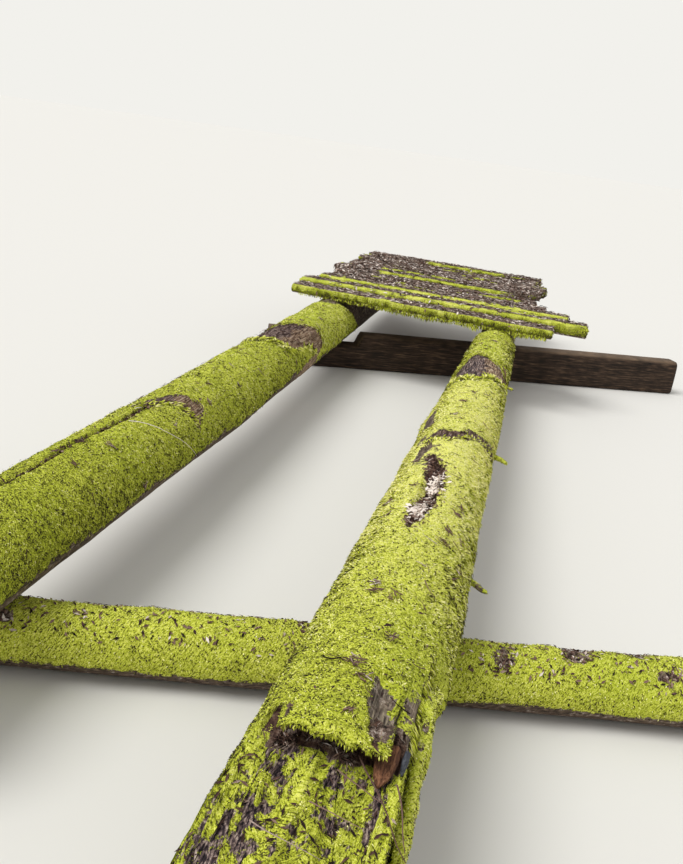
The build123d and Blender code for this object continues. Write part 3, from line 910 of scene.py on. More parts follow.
def mark_butt(points, marks, rings):
    """Marks the broken butt: moss on the lip and in ribs on the lower shell, rot and litter in the cavity."""
    front = points[:rings]
    wide = noise(front, 0.06, 31)
    fine = noise(front, 0.022, 33)
    lip = ease(LIP_Z - 0.002, LIP_Z + 0.01, front[..., 2])
    inside = (1 - lip) * ease(LIP_Y + 0.02, LIP_Y + 0.07, front[..., 1] + 0.02 * wide + 0.02 * fine)
    shell = (1 - lip) * (1 - inside)
    grooves = noise(front + 0.02 * fine[..., None], (0.022, 0.3, 0.16), 32)
    outer = ease(0.86 * rings, 0.96 * rings, np.arange(rings))[:, None]
    rim = outer * ease(SHELL_Z - 0.04, SHELL_Z, front[..., 2])
    moss = np.clip(lip * 0.9 + shell * (0.55 + 0.2 * wide + 0.45 * fine + 0.6 * grooves), 0, 1)
    marks["moss"][:rings] = np.maximum(moss, rim * marks["moss"][rings])
    marks["rot"][:rings] = inside * 0.8 * (1 - rim)
    marks["litter"][:rings] = inside * ease(0.0, 0.4, wide) * (1 - rim)
    marks["bare"][:rings] = shell * (1 - rim)
    # Painted shade on the lower shell, less on its moss ribs and more between them
    marks["dim"][:rings] = shell * (0.7 - 1.2 * grooves - 0.8 * fine)


class FOOTBRIDGE_OT_right_log(bpy.types.Operator):
    """Adds the right stringer log with its bark, moss cushions, rot and broken butt"""

    bl_idname = "footbridge.right_log"
    bl_label = "Right log"

    def execute(self, context):
        points, marks, rings = stringer_grid(
            RIGHT, BUTT_PROFILE, BUTT_SKEW, (LIP_Z + CAVITY_Z) / 2, columns=124, rings=56, rows=550
        )
        mark_butt(points, marks, rings)
        points = dress_log(RIGHT, points, marks, rings)
        add_skin("right_log", points, marks, mossy_wood(context.scene.footbridge))
        return {"FINISHED"}


class FOOTBRIDGE_OT_left_log(bpy.types.Operator):
    """Adds the left stringer log with its bark, moss cushions and shake"""

    bl_idname = "footbridge.left_log"
    bl_label = "Left log"

    def execute(self, context):
        points, marks, rings = stringer_grid(
            LEFT, LEFT_PROFILE, LEFT_SKEW, LEFT_TOP - 0.2, columns=116, rings=36, rows=516
        )
        front = points[:rings]
        torn = noise(front, (0.03, 1, 0.12), 34)
        high = ease(LEFT_TOP - 0.3, LEFT_TOP - 0.05, front[..., 2])
        marks["moss"][:rings] = np.clip(0.2 + 0.6 * high + 0.7 * torn + 0.4 * noise(front, 0.025, 35), 0, 0.9)
        marks["rot"][:rings] = ease(-0.2, 0.4, torn)
        marks["bare"][:rings] = 1 - marks["rot"][:rings]
        points = dress_log(LEFT, points, marks, rings)
        add_skin("left_log", points, marks, mossy_wood(context.scene.footbridge))
        return {"FINISHED"}


def sill_places(length_left, length_right, rows, skew, middle_y):
    """Even stations along a skewed sill, its middle, its direction and the direction across it."""
    along = np.array([cos(skew), sin(skew), 0])
    across = np.array([-sin(skew), cos(skew), 0])
    return np.linspace(-length_left, length_right, rows), np.array([0, middle_y, 0]), along, across


def close_ends(points, marks, rings):
    """Adds rings that shrink to the middle of each end, so that a tube's ends are flat and closed, and
    marks them as cut wood with thin moss on a piece that has such marks."""
    share = (np.arange(1, rings) / rings)[:, None, None]
    low, high = points[0].mean(0), points[-1].mean(0)
    start = low + (points[0] - low) * share
    end = high + (points[-1] - high) * share[::-1]
    closed = {
        mark: np.concatenate([np.repeat(value[:1], rings - 1, 0), value, np.repeat(value[-1:], rings - 1, 0)])
        for mark, value in marks.items()
    }
    if "cut" in closed:
        radius = np.linalg.norm(points[0] - low, axis=-1)
        for place, shares in ((slice(rings - 1), share), (slice(1 - rings, None), share[::-1])):
            closed["cut"][place] = 1
            closed["ring"][place] = radius * shares[..., 0]
            closed["moss"][place] *= 0.3
    return np.concatenate([start, points, end]), closed


def notch_sill(points, middle, along, skew, sill_y, width, seats):
    """Lowers a sill's top to each log's seat, over the chord that the log cuts at that height plus a
    clearance."""
    station = (points - middle) @ along
    for log, seat in seats.items():
        y = crossing(log, sill_y, skew)
        radius = float(log_radius(log, y))
        height = np.clip(points[..., 2].max() - (float(log_crown(log, y)) - 2 * radius), 0, radius)
        half = np.sqrt(height * (2 * radius - height)) / cos(skew) + width / 2 * tan(skew) + NOTCH_CLEARANCE
        centre = float(log_x(log, y)) / cos(skew)
        within = ease(half + 0.01, half - 0.01, np.abs(station - centre))
        points[..., 2] -= within * np.maximum(points[..., 2] - seat + 0.002, 0)


class FOOTBRIDGE_OT_near_sill(bpy.types.Operator):
    """Adds the mossy log that lies under the near ends"""

    bl_idname = "footbridge.near_sill"
    bl_label = "Near sill"

    def execute(self, context):
        station, middle, along, across = sill_places(SILL_LEFT, SILL_RIGHT, 190, NEAR_SKEW, 0)
        turn = np.linspace(-pi, pi, 64, endpoint=False)
        axis = middle + station[:, None] * along + np.array([0, 0, SILL_RADIUS - SILL_FOOT])
        radius = SILL_RADIUS - 0.004 + noise(axis, 0.7, 41)[:, None] * 0.006
        points = axis[:, None] + radius[..., None] * (
            -np.sin(turn)[:, None] * across + np.cos(turn)[:, None] * np.array([0, 0, 1.0])
        )
        side = np.abs(np.degrees(turn))
        wide = noise(points, 0.35, 42)
        moss = (1 - ease(95, 125, side + 14 * wide)) * (0.82 + 0.3 * wide)
        litter = ease(0.15, 0.5, noise(points, 0.14, 43)) * ease(70, 30, side) * 0.6
        moss = np.clip(moss - litter, 0, 1)
        marks = {"moss": moss, "litter": litter, "cut": 0 * litter, "ring": 0 * litter}
        cushion = noise(points, 0.18, 44) * 0.009 + noise(points, 0.05, 45) * 0.005
        points = points + grid_normals(points) * (cushion * moss - 0.01 * (1 - moss))[..., None]
        points, marks = close_ends(points, marks, 6)
        points[..., 2] = np.maximum(points[..., 2], 0)
        notch_sill(points, middle, along, NEAR_SKEW, 0, 2 * SILL_RADIUS, {RIGHT: NEAR_SEAT, LEFT: NEAR_SEAT})
        add_skin("near_sill", points, marks, mossy_wood(context.scene.footbridge, "x"))
        return {"FINISHED"}


class FOOTBRIDGE_OT_far_sill(bpy.types.Operator):
    """Adds the hewn timber that lies under the far ends"""

    bl_idname = "footbridge.far_sill"
    bl_label = "Far sill"

    def execute(self, context):
        top = far_seat(RIGHT) - FIT
        station, middle, along, across = sill_places(FAR_SILL_LEFT, FAR_SILL_RIGHT, 200, FAR_SKEW, SPAN)
        wide, high = rounded(48, 0.3)
        half_height = np.array([0, 0, top / 2])
        section = wide[:, None] * across * FAR_SILL_WIDTH / 2 + (high[:, None] + 1) * half_height
        points = middle + station[:, None, None] * along + section
        facet = noise(points, (0.16, 0.16, 0.09), 51) * 0.006 + noise(points, (0.3, 0.3, 0.012), 52) * 0.003
        raised = ease(0.01, 0.03, points[..., 2]) * ease(0, 0.01, top - points[..., 2])
        points = points + grid_normals(points) * ((facet - 0.005) * raised)[..., None]
        points, marks = close_ends(points, {"edge": 0.5 * ease(top - 0.03, top - 0.005, points[..., 2])}, 5)
        notch_sill(points, middle, along, FAR_SKEW, SPAN, FAR_SILL_WIDTH, {LEFT: far_seat(LEFT)})
        add_skin("far_sill", points, marks, hewn_redwood(), "hewn_wood")
        return {"FINISHED"}


# Runs of each deck slab's front edge that show thick moss, in metres from the middle; the rest is under
# litter
MOSS_RUNS = (
    (-9, 9), (-9, 9), (-9, 9), (-0.2, 0.1), (0.7, 1.0), (-0.7, 0.85), (-0.45, 0.15), (-0.8, -0.6),
    (0.45, 0.55), (0.1, 0.3), (-0.3, 0.75),
)


def slab_front(index):
    """Distance along the bridge to a slab's front edge: the gaps up to it and the widths before it."""
    gaps = sum(slab.gap for slab in SLABS[: index + 1])
    return DECK_START + gaps * SLAB_GAP + sum(slab.width for slab in SLABS[:index]) * SLAB_WIDTH


def slab_world(index, local):
    """Turns places given along, across and above a slab into places on the bridge, by the slab's yaw."""
    yaw = radians(DECK_YAW + SLABS[index].turn)
    x = local[..., 0] * cos(yaw) - local[..., 1] * sin(yaw)
    y = slab_front(index) + local[..., 0] * sin(yaw) + local[..., 1] * cos(yaw)
    return np.stack([x, y, DECK_SEAT + FIT + local[..., 2]], -1)


def slab_grid(index):
    """A split slab: a rounded oblong carried along its length, with wavy edges, worn ends, thick moss on the
    front face and front edge, and litter on the top."""
    slab = SLABS[index]
    deep, thick = slab.width * SLAB_WIDTH, slab.thickness * SLAB_THICKNESS
    wide, high = rounded(36, 0.3)
    ends = np.array([0, 0.35, 0.62, 0.82, 0.94])
    share = np.concatenate([np.zeros(5), np.linspace(0, 1, 112), np.ones(5)])[:, None]
    scale = np.concatenate([ends, np.ones(112), ends[::-1]])[:, None]
    scale[0], scale[-1] = 0.08, 0.08
    across = deep / 2 * (1 + wide * scale)
    above = thick / 2 * (1 + high * scale)
    left = -slab.left * SLAB_REACH + END_SKEW * across / deep
    right = slab.right * SLAB_REACH - END_SKEW * across / deep
    dome = 0.012 * scale**2
    along = left + dome + (right - left - 2 * dome) * share
    spot = np.stack(np.broadcast_arrays(along, across + 3 * index, above), -1)
    wave = noise(np.stack([along, across * 0 + 3 * index, across * 0], -1), (0.45, 1, 1), 61)
    across = across + 0.008 * wave * np.where(wide < 0, 1, 0.5)
    worn = 0.014 * noise(spot, (9, 0.03, 0.02), 62) * np.where(share < 0.5, 1, -1)
    along = along + worn * (np.abs(share - 0.5) > 0.49)
    points = slab_world(index, np.stack([along, across, above], -1))
    front = ease(0.0, -0.7, wide)[None] * ease(-0.9, -0.4, high)[None] * np.ones_like(share)
    top = ease(0.7, 0.95, high)[None] * np.ones_like(share)
    if index == 0:
        front = front * ease(0.97, 0.84, high)[None]
    else:
        front = np.maximum(front, top * ease(0.02, 0.006, across))
    tip = np.maximum(ease(0.06, 0.0, share), ease(0.94, 1.0, share))
    patches = noise(spot, (0.3, 0.12, 0.12), 63)
    flecks = noise(spot, 0.035, 68)
    low, far = MOSS_RUNS[index]
    shifted = along + 0.1 * patches
    run = ease(low - 0.08, low + 0.04, shifted) * ease(far + 0.08, far - 0.04, shifted)
    front = front * (1 - 0.5 * ease(0.0, 0.6, flecks))
    moss = np.maximum(front * run, 0.7 * tip * (0.7 + 0.6 * patches) * (1 - top))
    moss = np.maximum(moss, top * ease(0.62, 0.8, patches + 0.3 * flecks) * 0.9)
    beneath = (0.4 + 0.4 * patches + 0.3 * flecks) * (1 - top) * (0.3 + 0.7 * run)
    moss = np.clip(np.maximum(moss, beneath) * ease(-0.95, -0.5, high), 0, 1)
    # Painted shade and light: the slabs are darker towards their bottoms and from the fourth slab on, lighter
    # on the first three, with noise
    dim = 2.4 * ease(0.6, -0.6, high)[None] + 1.3 * noise(spot, 0.05, 69) + 0.7 * flecks
    marks = {"moss": moss, "litter": 1 - moss, "dim": dim + (0.5 if index > 2 else -0.3), "top": top}
    swell = 0.006 * noise(spot, 0.09, 64) + 0.003 * noise(spot, 0.03, 65)
    cushion = 0.005 * (1 - top) + swell * (1 - 0.7 * top)
    rough = 0.004 * noise(spot, (0.3, 0.02, 0.02), 66) + 0.004 * noise(spot, 0.03, 67)
    lift = (moss * cushion + (1 - moss) * (rough - 0.004)) * ease(-0.98, -0.8, high)
    return points + grid_normals(points) * lift[..., None], marks


class FOOTBRIDGE_OT_deck_slabs(bpy.types.Operator):
    """Adds the split slabs that are left of the deck"""

    bl_idname = "footbridge.deck_slabs"
    bl_label = "Deck slabs"

    def execute(self, context):
        wood = mossy_wood(context.scene.footbridge, "x")
        for index in range(len(SLABS)):
            add_skin(f"deck_slab_{index + 1}", *slab_grid(index), wood)
        return {"FINISHED"}


def splinter_grid():
    """The splinter: an oblong carried down the flank, whose top and foot droop by powers of the share and
    meet at the tip, and whose sides are torn by noise."""
    share = np.linspace(0, 1, 90)[:, None]
    root_y = LIP_Y + SPLINTER_INSET
    root_z = float(log_crown(RIGHT, root_y)) - SPLINTER_BELOW_CROWN
    half = SPLINTER_HEIGHT / 2
    top = root_z - SPLINTER_DROOP * share**2 - half * (1 - ease(0, 0.3, share))
    sag = 0.36 * (share**2.2) * (1 - 0.35 * ease(0.7, 1, share))
    foot = np.minimum(root_z - SPLINTER_HEIGHT - sag, top - 0.02) + half * (1 - ease(0, 0.25, share))
    foot = foot * (1 - ease(0.8, 1, share)) + (top - 0.015) * ease(0.8, 1, share)
    wide, high = rounded(30, 0.6)
    thick = SPLINTER_THICKNESS * np.interp(share, [0, 0.1, 0.8, 1], [0.4, 1, 0.8, 0.3])
    thick = thick * (1 + 0.12 * noise(on_line(share), 0.09, 76))
    z = (top + foot) / 2 + (top - foot) / 2 * high
    x = FLANK_X + FIT + thick / 2 * (1 + wide) + 0 * z
    points = np.stack([x, root_y - SPLINTER_LENGTH * share + 0 * z, z], -1)
    torn = noise(points, (0.024, 0.4, 0.024), 71) * 0.009 + noise(points, 0.045, 72) * 0.005
    points = points + grid_normals(points) * torn[..., None]
    moss = np.clip(0.72 + 0.3 * noise(points, (0.025, 0.2, 0.025), 73) + 0.35 * noise(points, 0.03, 77), 0, 1)
    # The splinter's painted shade mark is negative: a painted highlight that lightens its moss
    return points, {"moss": moss, "litter": 0.7 * (1 - moss), "dim": 0 * moss - 0.3}


def shard_grid(aside, length, width, thick, seed):
    """A split shard on the cavity's floor: an oblong carried down the floor, that narrows to its tip and is
    ribbed by noise drawn out along it."""
    along_butt = np.array([sin(BUTT_SKEW), cos(BUTT_SKEW), 0])
    across = np.array([cos(BUTT_SKEW), -sin(BUTT_SKEW), 0])
    fall = unit(-CAVITY_DEPTH * along_butt - np.array([0, 0, CAVITY_FALL]))
    up = np.cross(fall, across)
    edge = np.array([float(log_x(RIGHT, LIP_Y)), LIP_Y, CAVITY_Z]) + CAVITY_DEPTH * along_butt
    wide, high = rounded(20, 0.5)
    share = np.linspace(0, 1, 34)[:, None]
    narrow = np.interp(share, [0, 0.04, 0.45, 0.8, 1], [0.5, 0.88, 1, 0.7, 0.12])
    place = (
        edge + across * aside + up * 0.001
        + (share * length)[..., None] * fall
        + (wide * width / 2 * narrow)[..., None] * across
        + ((high + 1) * thick / 2 * (0.4 + 0.6 * narrow))[..., None] * up
    )
    spot = np.stack(np.broadcast_arrays(wide * width, share * length, high * thick), -1)
    return place + grid_normals(place) * (0.0025 * noise(spot, (0.012, 0.2, 0.012), seed))[..., None]


class FOOTBRIDGE_OT_butt_pieces(bpy.types.Operator):
    """Adds the splinter on the butt's flank and the loose wood under its lip"""

    bl_idname = "footbridge.butt_pieces"
    bl_label = "Butt pieces"

    def execute(self, context):
        add_skin("butt_splinter", *splinter_grid(), mossy_wood(context.scene.footbridge))
        shard = shard_grid(aside=0.143, length=0.15, width=0.06, thick=0.026, seed=74)
        add_skin("heartwood_shard", shard, {}, rotten_heartwood(), "rotten_wood")
        chip = shard_grid(aside=0.189, length=0.088, width=0.019, thick=0.015, seed=75)
        add_skin("butt_chip", chip, {}, grey_redwood(), "grey_wood")
        return {"FINISHED"}


# Broken branches: name, place along the log, angle from the crown and lean towards the far end in degrees,
# and size as a share of the largest one
STUBS = (("low", 0.43, 89, -36, 0.85), ("middle", 2.2, 88, -40, 1.0), ("high", 3.88, 78, -45, 0.75))


def stub_grid(y, degrees, lean, size):
    """A broken branch: a circle carried along its lean, with a collar at the log, a rounded tip and a
    slight sag."""
    out = np.array([sin(radians(degrees)), 0, cos(radians(degrees))])
    aim = unit(out + np.array([0, tan(radians(lean)), 0]))
    share = np.linspace(0, 1, 30)[:, None]
    reach = (0.06 + 0.13 * size) * share
    side = unit(np.cross(aim, [0, 0, 1.0]))
    over = np.cross(side, aim)
    turn = np.linspace(0, 2 * pi, 16, endpoint=False)
    radius = size * (0.019 - 0.007 * share) * (1 + 0.25 * np.exp(-(((reach - 0.06) / 0.02) ** 2)))
    radius = radius * np.sqrt(np.clip(1 - ((share - 0.9) / 0.1).clip(0) ** 2, 0.03, 1))
    bend = np.stack([0 * share, 0 * share, -0.012 * share**2 * size], -1)
    circle = np.cos(turn)[:, None] * side + np.sin(turn)[:, None] * over
    points = log_point(RIGHT, y, degrees, -0.06) + reach[..., None] * aim + bend + radius[..., None] * circle
    return points + grid_normals(points) * (0.004 * noise(points, 0.022, 81))[..., None]


class FOOTBRIDGE_OT_branch_stubs(bpy.types.Operator):
    """Adds the broken branches on the right log"""

    bl_idname = "footbridge.branch_stubs"
    bl_label = "Branch stubs"

    def execute(self, context):
        wood = mossy_wood(context.scene.footbridge, "x")
        for name, *place in STUBS:
            points = stub_grid(*place)
            moss = np.clip(0.75 + 0.5 * noise(points, 0.05, 82), 0, 1)
            add_skin(f"{name}_branch_stub", points, {"moss": moss, "grey": 0.4 * (1 - moss)}, wood)
        return {"FINISHED"}


def grow_shoots(name, node, count, weight, settings, rng, near_y=-1.2, bright=0.0, drape=0.0):
    """Moss shoots over a skin: they lean down its slope, and are larger and sparser further off. With drape
    they grow longer on the flanks and part there in slanting gaps."""
    place, normal, marks = scatter(f"{node}_skin", count, weight, rng)
    dim = marks.get("dim", 0)
    arc = 0.25 * np.abs(np.arctan2(normal[:, 0], normal[:, 2]))
    flank = drape * ease(0.1, 0.25, arc) * ease(-0.9, 0.3, place[:, 1])
    slope = np.array([0, 0, -1.0]) - normal * -normal[:, 2:]
    slope = slope + flank[:, None] * np.array([0, -0.45, 0])
    lean = unit(slope * 1.1 + 0.55 * laid_flat(rng.normal(size=(count, 3)), normal))
    aim = unit(normal * rng.uniform(0.12, 0.6, (count, 1)) + lean * 0.8)
    far = 1 + np.clip(place[:, 1] - near_y, 0, 9) / 7
    length = settings.shoot_length * far * rng.uniform(0.6, 1.3, count) * (1 + 0.8 * flank)
    strand = np.stack([place[:, 1] * 0.53 + arc * 0.85, arc * 0.53 - place[:, 1] * 0.85, 0 * arc], -1)
    gaps = noise(strand, (0.035, 0.009, 1), 93) + 0.6 * noise(place, 0.014, 94) + 0.3 * noise(place, 0.12, 96)
    gaps = gaps + (0.18 + 0.24 * drape) * ease(0.1, 0.3, arc) + 0.14 * ease(0.4, -0.9, place[:, 1])
    # Painted light in the tones: shoots are darker where the painted shade mark is positive, lighter where it
    # is negative, and darker on skin that faces downwards
    tone = 0.66 + bright + noise(place, 0.03, 91) * 0.22 + noise(place, 0.4, 92) * 0.1 - 0.22 * dim
    tone = tone + rng.normal(0, 0.24, count) - 0.3 * (1 - marks["moss"]) - 0.2 * ease(0.2, -0.5, normal[:, 2])
    tone = np.clip(tone + 0.1 * flank - 0.75 * ease(0.34, 0.56, gaps), 0.02, 0.98)
    width = length * (0.34 - 0.08 * flank)
    add_leaves(name, place - normal * 0.002, aim, normal, length, width, tone, moss_shoot(settings))


def thick_moss(marks):
    """Weight of full moss: its square, and none where it is under 0.3."""
    return marks["moss"] ** 2 * ease(0.3, 0.6, marks["moss"])


def near_first(points, marks):
    """Weight of moss that thins with the distance from the butt, by a power of it."""
    return thick_moss(marks) / (1 + (np.clip(points[..., 1] + 1.2, 0, 9) / 2.6) ** 1.6)


def even(points, marks):
    """Weight of moss that is even all over, and little on the top of a slab."""
    return thick_moss(marks) * (1 - 0.85 * marks.get("top", 0))


def lip_edge(points, marks):
    """Weight along the lip's lower edge: a narrow bell over the height, near the lip's face and above the
    cavity."""
    near = np.exp(-(((points[..., 2] - LIP_Z - 0.006) / 0.01) ** 2)) * (np.abs(points[..., 1] - LIP_Y) < 0.12)
    return near * (points[..., 2] > CAVITY_Z)


def hang_strands(name, base, length, width, tone, settings, rng):
    """Strands of moss that hang almost straight down from their bases, each swung a little to one side."""
    count = len(base)
    aim = unit(np.stack([rng.normal(0, 0.25, count), rng.normal(-0.12, 0.2, count), -np.ones(count)], -1))
    front = np.tile([0.0, -1.0, 0.0], (count, 1))
    tones = random_tones(rng, tone, 0.22, count)
    add_leaves(name, base, aim, front, length, np.full(count, width), tones, moss_shoot(settings), 0.03)


def flank_fringe(settings, rng, count=FLANK_STRANDS):
    """Strands that hang over the edge of the lost flank, from places along the chord where it cuts the
    round log."""
    y = rng.uniform(LIP_Y + 0.14, FLANK_Y - 0.02, count)
    rise = np.sqrt(np.maximum(log_radius(RIGHT, y) ** 2 - (FLANK_X - log_x(RIGHT, y)) ** 2, 0))
    height = log_crown(RIGHT, y) - log_radius(RIGHT, y) + rise
    base = np.stack([np.full(count, FLANK_X - 0.008), y, height - rng.uniform(0, 0.05, count)], -1)
    aim = unit(np.stack([rng.uniform(0.3, 1.1, count), rng.normal(-0.25, 0.35, count), -np.ones(count)], -1))
    out = np.tile([0.8, 0.0, 0.6], (count, 1))
    tone = random_tones(rng, 0.52, 0.28, count)
    length = rng.uniform(0.015, 0.042, count)
    shoots = moss_shoot(settings)
    add_leaves("flank_moss_fringe", base, aim, out, length, np.full(count, 0.006), tone, shoots, 0.1)


def edge_fronds(name, settings, rng):
    """Fronds of moss that reach over a bare strip from both its edges, most and longest from the near one,
    each swung round the log and raised a little."""
    log, _, table = STRIPS[name]
    angle, near, far = np.array(table).T
    count = int(1500 * np.mean(far - near)) + 60
    degrees = rng.uniform(max(angle[0], -80), min(angle[-1], 85), count)
    first = np.interp(degrees, angle, near)
    last = np.interp(degrees, angle, far)
    from_near = rng.random(count) < 0.65
    y = np.where(from_near, first, last) + rng.normal(0, 0.025, count)
    over = np.where(from_near, 1.0, -1.0)[:, None] * np.array([0, 1.0, 0])
    out, round_it = skin_axes(degrees)
    swing = rng.normal(0, 0.5, (count, 1)) + 0.35
    aim = unit(over + swing * round_it + rng.uniform(0.05, 0.3, (count, 1)) * out)
    length = np.minimum(rng.uniform(0.02, 0.085, count), 0.2 * np.maximum(last - first, 0.08))
    length = length * np.where(from_near, 1, 0.6)
    tones = random_tones(rng, 0.6, 0.28, count)
    base = log_point(log, y, degrees, -0.004)
    width = length * 0.16 + 0.003
    add_leaves(f"{name}_strip_fronds", base, aim, out, length, width, tones, moss_shoot(settings), 0.1)


class FOOTBRIDGE_OT_moss(bpy.types.Operator):
    """Grows moss shoots on the logs, the near sill and the slabs, and a fringe under the first slab"""

    bl_idname = "footbridge.moss"
    bl_label = "Moss shoots"

    def execute(self, context):
        settings = context.scene.footbridge
        rng = np.random.default_rng(MOSS_SEED)
        for node, share, drape in (("right_log", 1.0, 1.0), ("left_log", 0.78, 0.15)):
            count = int(settings.shoot_count * share)
            grow_shoots(f"{node}_moss", node, count, near_first, settings, rng, drape=drape)
        grow_shoots("near_sill_moss", "near_sill", SILL_SHOOTS, even, settings, rng)
        for index in range(len(SLABS)):
            node = f"deck_slab_{index + 1}"
            count = FRONT_SLAB_SHOOTS if index < 4 else BACK_SLAB_SHOOTS
            grow_shoots(f"{node}_moss", node, count, even, settings, rng, near_y=6.0)
        grow_shoots("butt_splinter_moss", "butt_splinter", SPLINTER_SHOOTS, even, settings, rng, bright=0.14)
        for stub, *_ in STUBS:
            grow_shoots(f"{stub}_stub_moss", f"{stub}_branch_stub", STUB_SHOOTS, even, settings, rng)

        count = DECK_STRANDS
        along = np.interp(rng.random(count), [0, 0.2, 0.6, 1], [-1.15, -0.3, 0.6, 1.3])
        wave = noise(on_line(along), 0.09, 95)
        heavy = ease(-0.9, 0.2, along) * (0.5 + 0.5 * wave)
        edge = np.stack([along, rng.uniform(-0.012, 0.01, count), rng.uniform(0, 0.03, count)], -1)
        length = 0.018 + 0.06 * heavy * rng.random(count)
        hang_strands("deck_moss_fringe", slab_world(0, edge), length, 0.007, 0.4, settings, rng)
        base, _, _ = scatter("right_log_skin", LIP_STRANDS, lip_edge, rng)
        length = rng.uniform(0.007, 0.019, LIP_STRANDS)
        hang_strands("lip_moss_fringe", base, length, 0.004, 0.45, settings, rng)
        flank_fringe(settings, rng)
        for name in STRIPS:
            edge_fronds(name, settings, rng)
        return {"FINISHED"}


def topside(points, marks):
    """Weight of litter on the top of a slab, in drifts of noise."""
    drifts = 0.35 + 0.65 * ease(-0.4, 0.3, noise(points, 0.16, 98))
    return drifts * marks["litter"] * (0.3 + 0.7 * marks["top"]) * (points[..., 2] > DECK_SEAT + 0.03)


def round_rot(points, marks):
    """Weight over the rotten patch of the right log."""
    return patch(points[..., 1], crown_angle(RIGHT, points), ROT_PATCH, 9) * (points[..., 2] > 0.5)


def pale_heaps(points, marks):
    """Weight over two heaps of chips on the rot: a bell round each one's place and angle."""
    heaps = 0.0
    for y, degrees, reach in CHIP_HEAPS:
        off = ((points[..., 1] - y) / reach) ** 2 + ((crown_angle(RIGHT, points) - degrees) / 6.5) ** 2
        heaps = heaps + np.exp(-off)
    return heaps * (points[..., 2] > 0.5)


def round_shake(points, marks):
    """Weight over the shake of the left log."""
    return patch(points[..., 1], crown_angle(LEFT, points), SHAKE, 4) * (points[..., 2] > 0.5)


def in_strip(points, marks):
    """Weight over the upper side of the bare strips."""
    return marks["bare"] * (points[..., 2] > 0.5)


def in_cavity(points, marks):
    """Weight over the floor of the butt's cavity."""
    return marks["litter"] * (points[..., 1] < -0.9) * (np.abs(points[..., 2] - CAVITY_Z) < 0.1)


def on_sill(points, marks):
    """Weight over the near sill's top, most where litter is marked."""
    return (points[..., 2] > 0.22) * (0.15 + marks["litter"])


# Litter on the skins: name, node, number, weight, lengths, width as a share of the length, middle and
# spread of the tones, how far the bits stand up, and how high they are heaped
SKIN_LITTER = (
    ("rot_crumbs", "right_log", 800, round_rot, (0.01, 0.03), 0.45, (0.34, 0.2), 0.5, 0.004),
    ("rot_chips", "right_log", 560, pale_heaps, (0.014, 0.038), 0.55, (0.97, 0.05), 0.5, 0.024),
    ("shake_litter", "left_log", 1100, round_shake, (0.012, 0.04), 0.35, (0.34, 0.22), 0.6, 0.004),
    ("right_bark_crumbs", "right_log", 700, in_strip, (0.012, 0.04), 0.24, (0.25, 0.2), 0.4, 0.004),
    ("left_bark_crumbs", "left_log", 700, in_strip, (0.012, 0.04), 0.24, (0.25, 0.2), 0.4, 0.004),
    ("cavity_litter", "right_log", 420, in_cavity, (0.012, 0.045), 0.12, (0.42, 0.25), 0.4, 0.004),
    ("near_sill_litter", "near_sill", 1500, on_sill, (0.01, 0.035), 0.35, (0.4, 0.24), 0.4, 0.004),
)

# Twigs on the lower shell: places across the bridge and in front of the lip, of their upper and lower ends
SHELL_TWIGS = (
    ((0.878, -0.02), (1.05, 0.2)), ((0.985, 0.03), (1.045, 0.18)), ((0.83, 0.03), (0.96, 0.085)),
    ((0.79, 0.12), (0.94, 0.15)), ((0.66, 0.2), (0.86, 0.24)), ((0.72, 0.3), (0.95, 0.27)),
)


def lying_leaves(name, node, count, weight, sizes, slim, tones, rise, heap, material, rng):
    """Flat bits of litter that lie on a skin, each turned its own way and a little tilted."""
    place, normal, _ = scatter(f"{node}_skin", count, weight, rng)
    flat = unit(laid_flat(rng.normal(size=(count, 3)), normal))
    aim = unit(flat + normal * rng.uniform(0, rise, (count, 1)))
    length = rng.uniform(*sizes, count)
    tone = random_tones(rng, *tones, count)
    base = place + normal * rng.uniform(0.003, heap, (count, 1)) - aim * (length / 2)[:, None]
    add_leaves(name, base, aim, normal, length, length * slim, tone, material, 0.08)


def lying_twigs(name, log, starts, heading, reach, tones, material, rng):
    """Twigs that lie on a log: each is almost straight and touches the skin at its middle, where it is laid
    along its heading, and one kink bends it a little."""
    count = len(starts)
    share = np.linspace(-0.5, 0.5, 4)[:, None]
    out, round_it = skin_axes(starts[:, 1])
    along = np.cos(heading)[:, None] * np.array([0, 1.0, 0]) + np.sin(heading)[:, None] * round_it
    aside = np.cross(out, along)
    length = rng.uniform(*reach, count)[:, None, None]
    kink = rng.normal(0, 0.22, (count, 1, 1)) * np.abs(share)
    middle = log_point(log, starts[:, 0], starts[:, 1], 0.004)
    paths = middle[:, None] + length * (share * along[:, None] + kink * aside[:, None])
    tone = random_tones(rng, *tones, count)
    add_twigs(name, paths, rng.uniform(0.003, 0.006, count), tone, material)


def sprays(name, log, centres, material, rng):
    """Shed redwood sprays: from each centre a handful of short needles fans out along one heading."""
    needles = 9
    starts = np.repeat(centres, needles, 0) + rng.normal(0, 1, (len(centres) * needles, 2)) * (0.012, 2.0)
    heading = np.repeat(rng.uniform(-pi, pi, len(centres)), needles) + rng.normal(0, 0.6, len(starts))
    lying_twigs(name, log, starts, heading, (0.02, 0.055), (0.46, 0.16), material, rng)


def log_leaves(name, log, places, length, tone, material, rng):
    """Fallen leaves on a log, each at its own place along and round it and with its own heading."""
    out, round_it = skin_axes(places[:, 1])
    turn = rng.uniform(-pi, pi, (len(places), 1))
    aim = unit(np.cos(turn) * np.array([0, 1.0, 0]) + np.sin(turn) * round_it + 0.1 * out)
    base = log_point(log, places[:, 0], places[:, 1], 0.008)
    add_leaves(name, base, aim, out, length, length * 0.45, tone, material, 0.1)


def random_places(rng, count, span, spread, clip=(-180, 180)):
    """Places even along a log and spread normally round it, with the angle kept inside its limits."""
    return np.stack([rng.uniform(*span, count), np.clip(rng.normal(*spread, count), *clip)], -1)


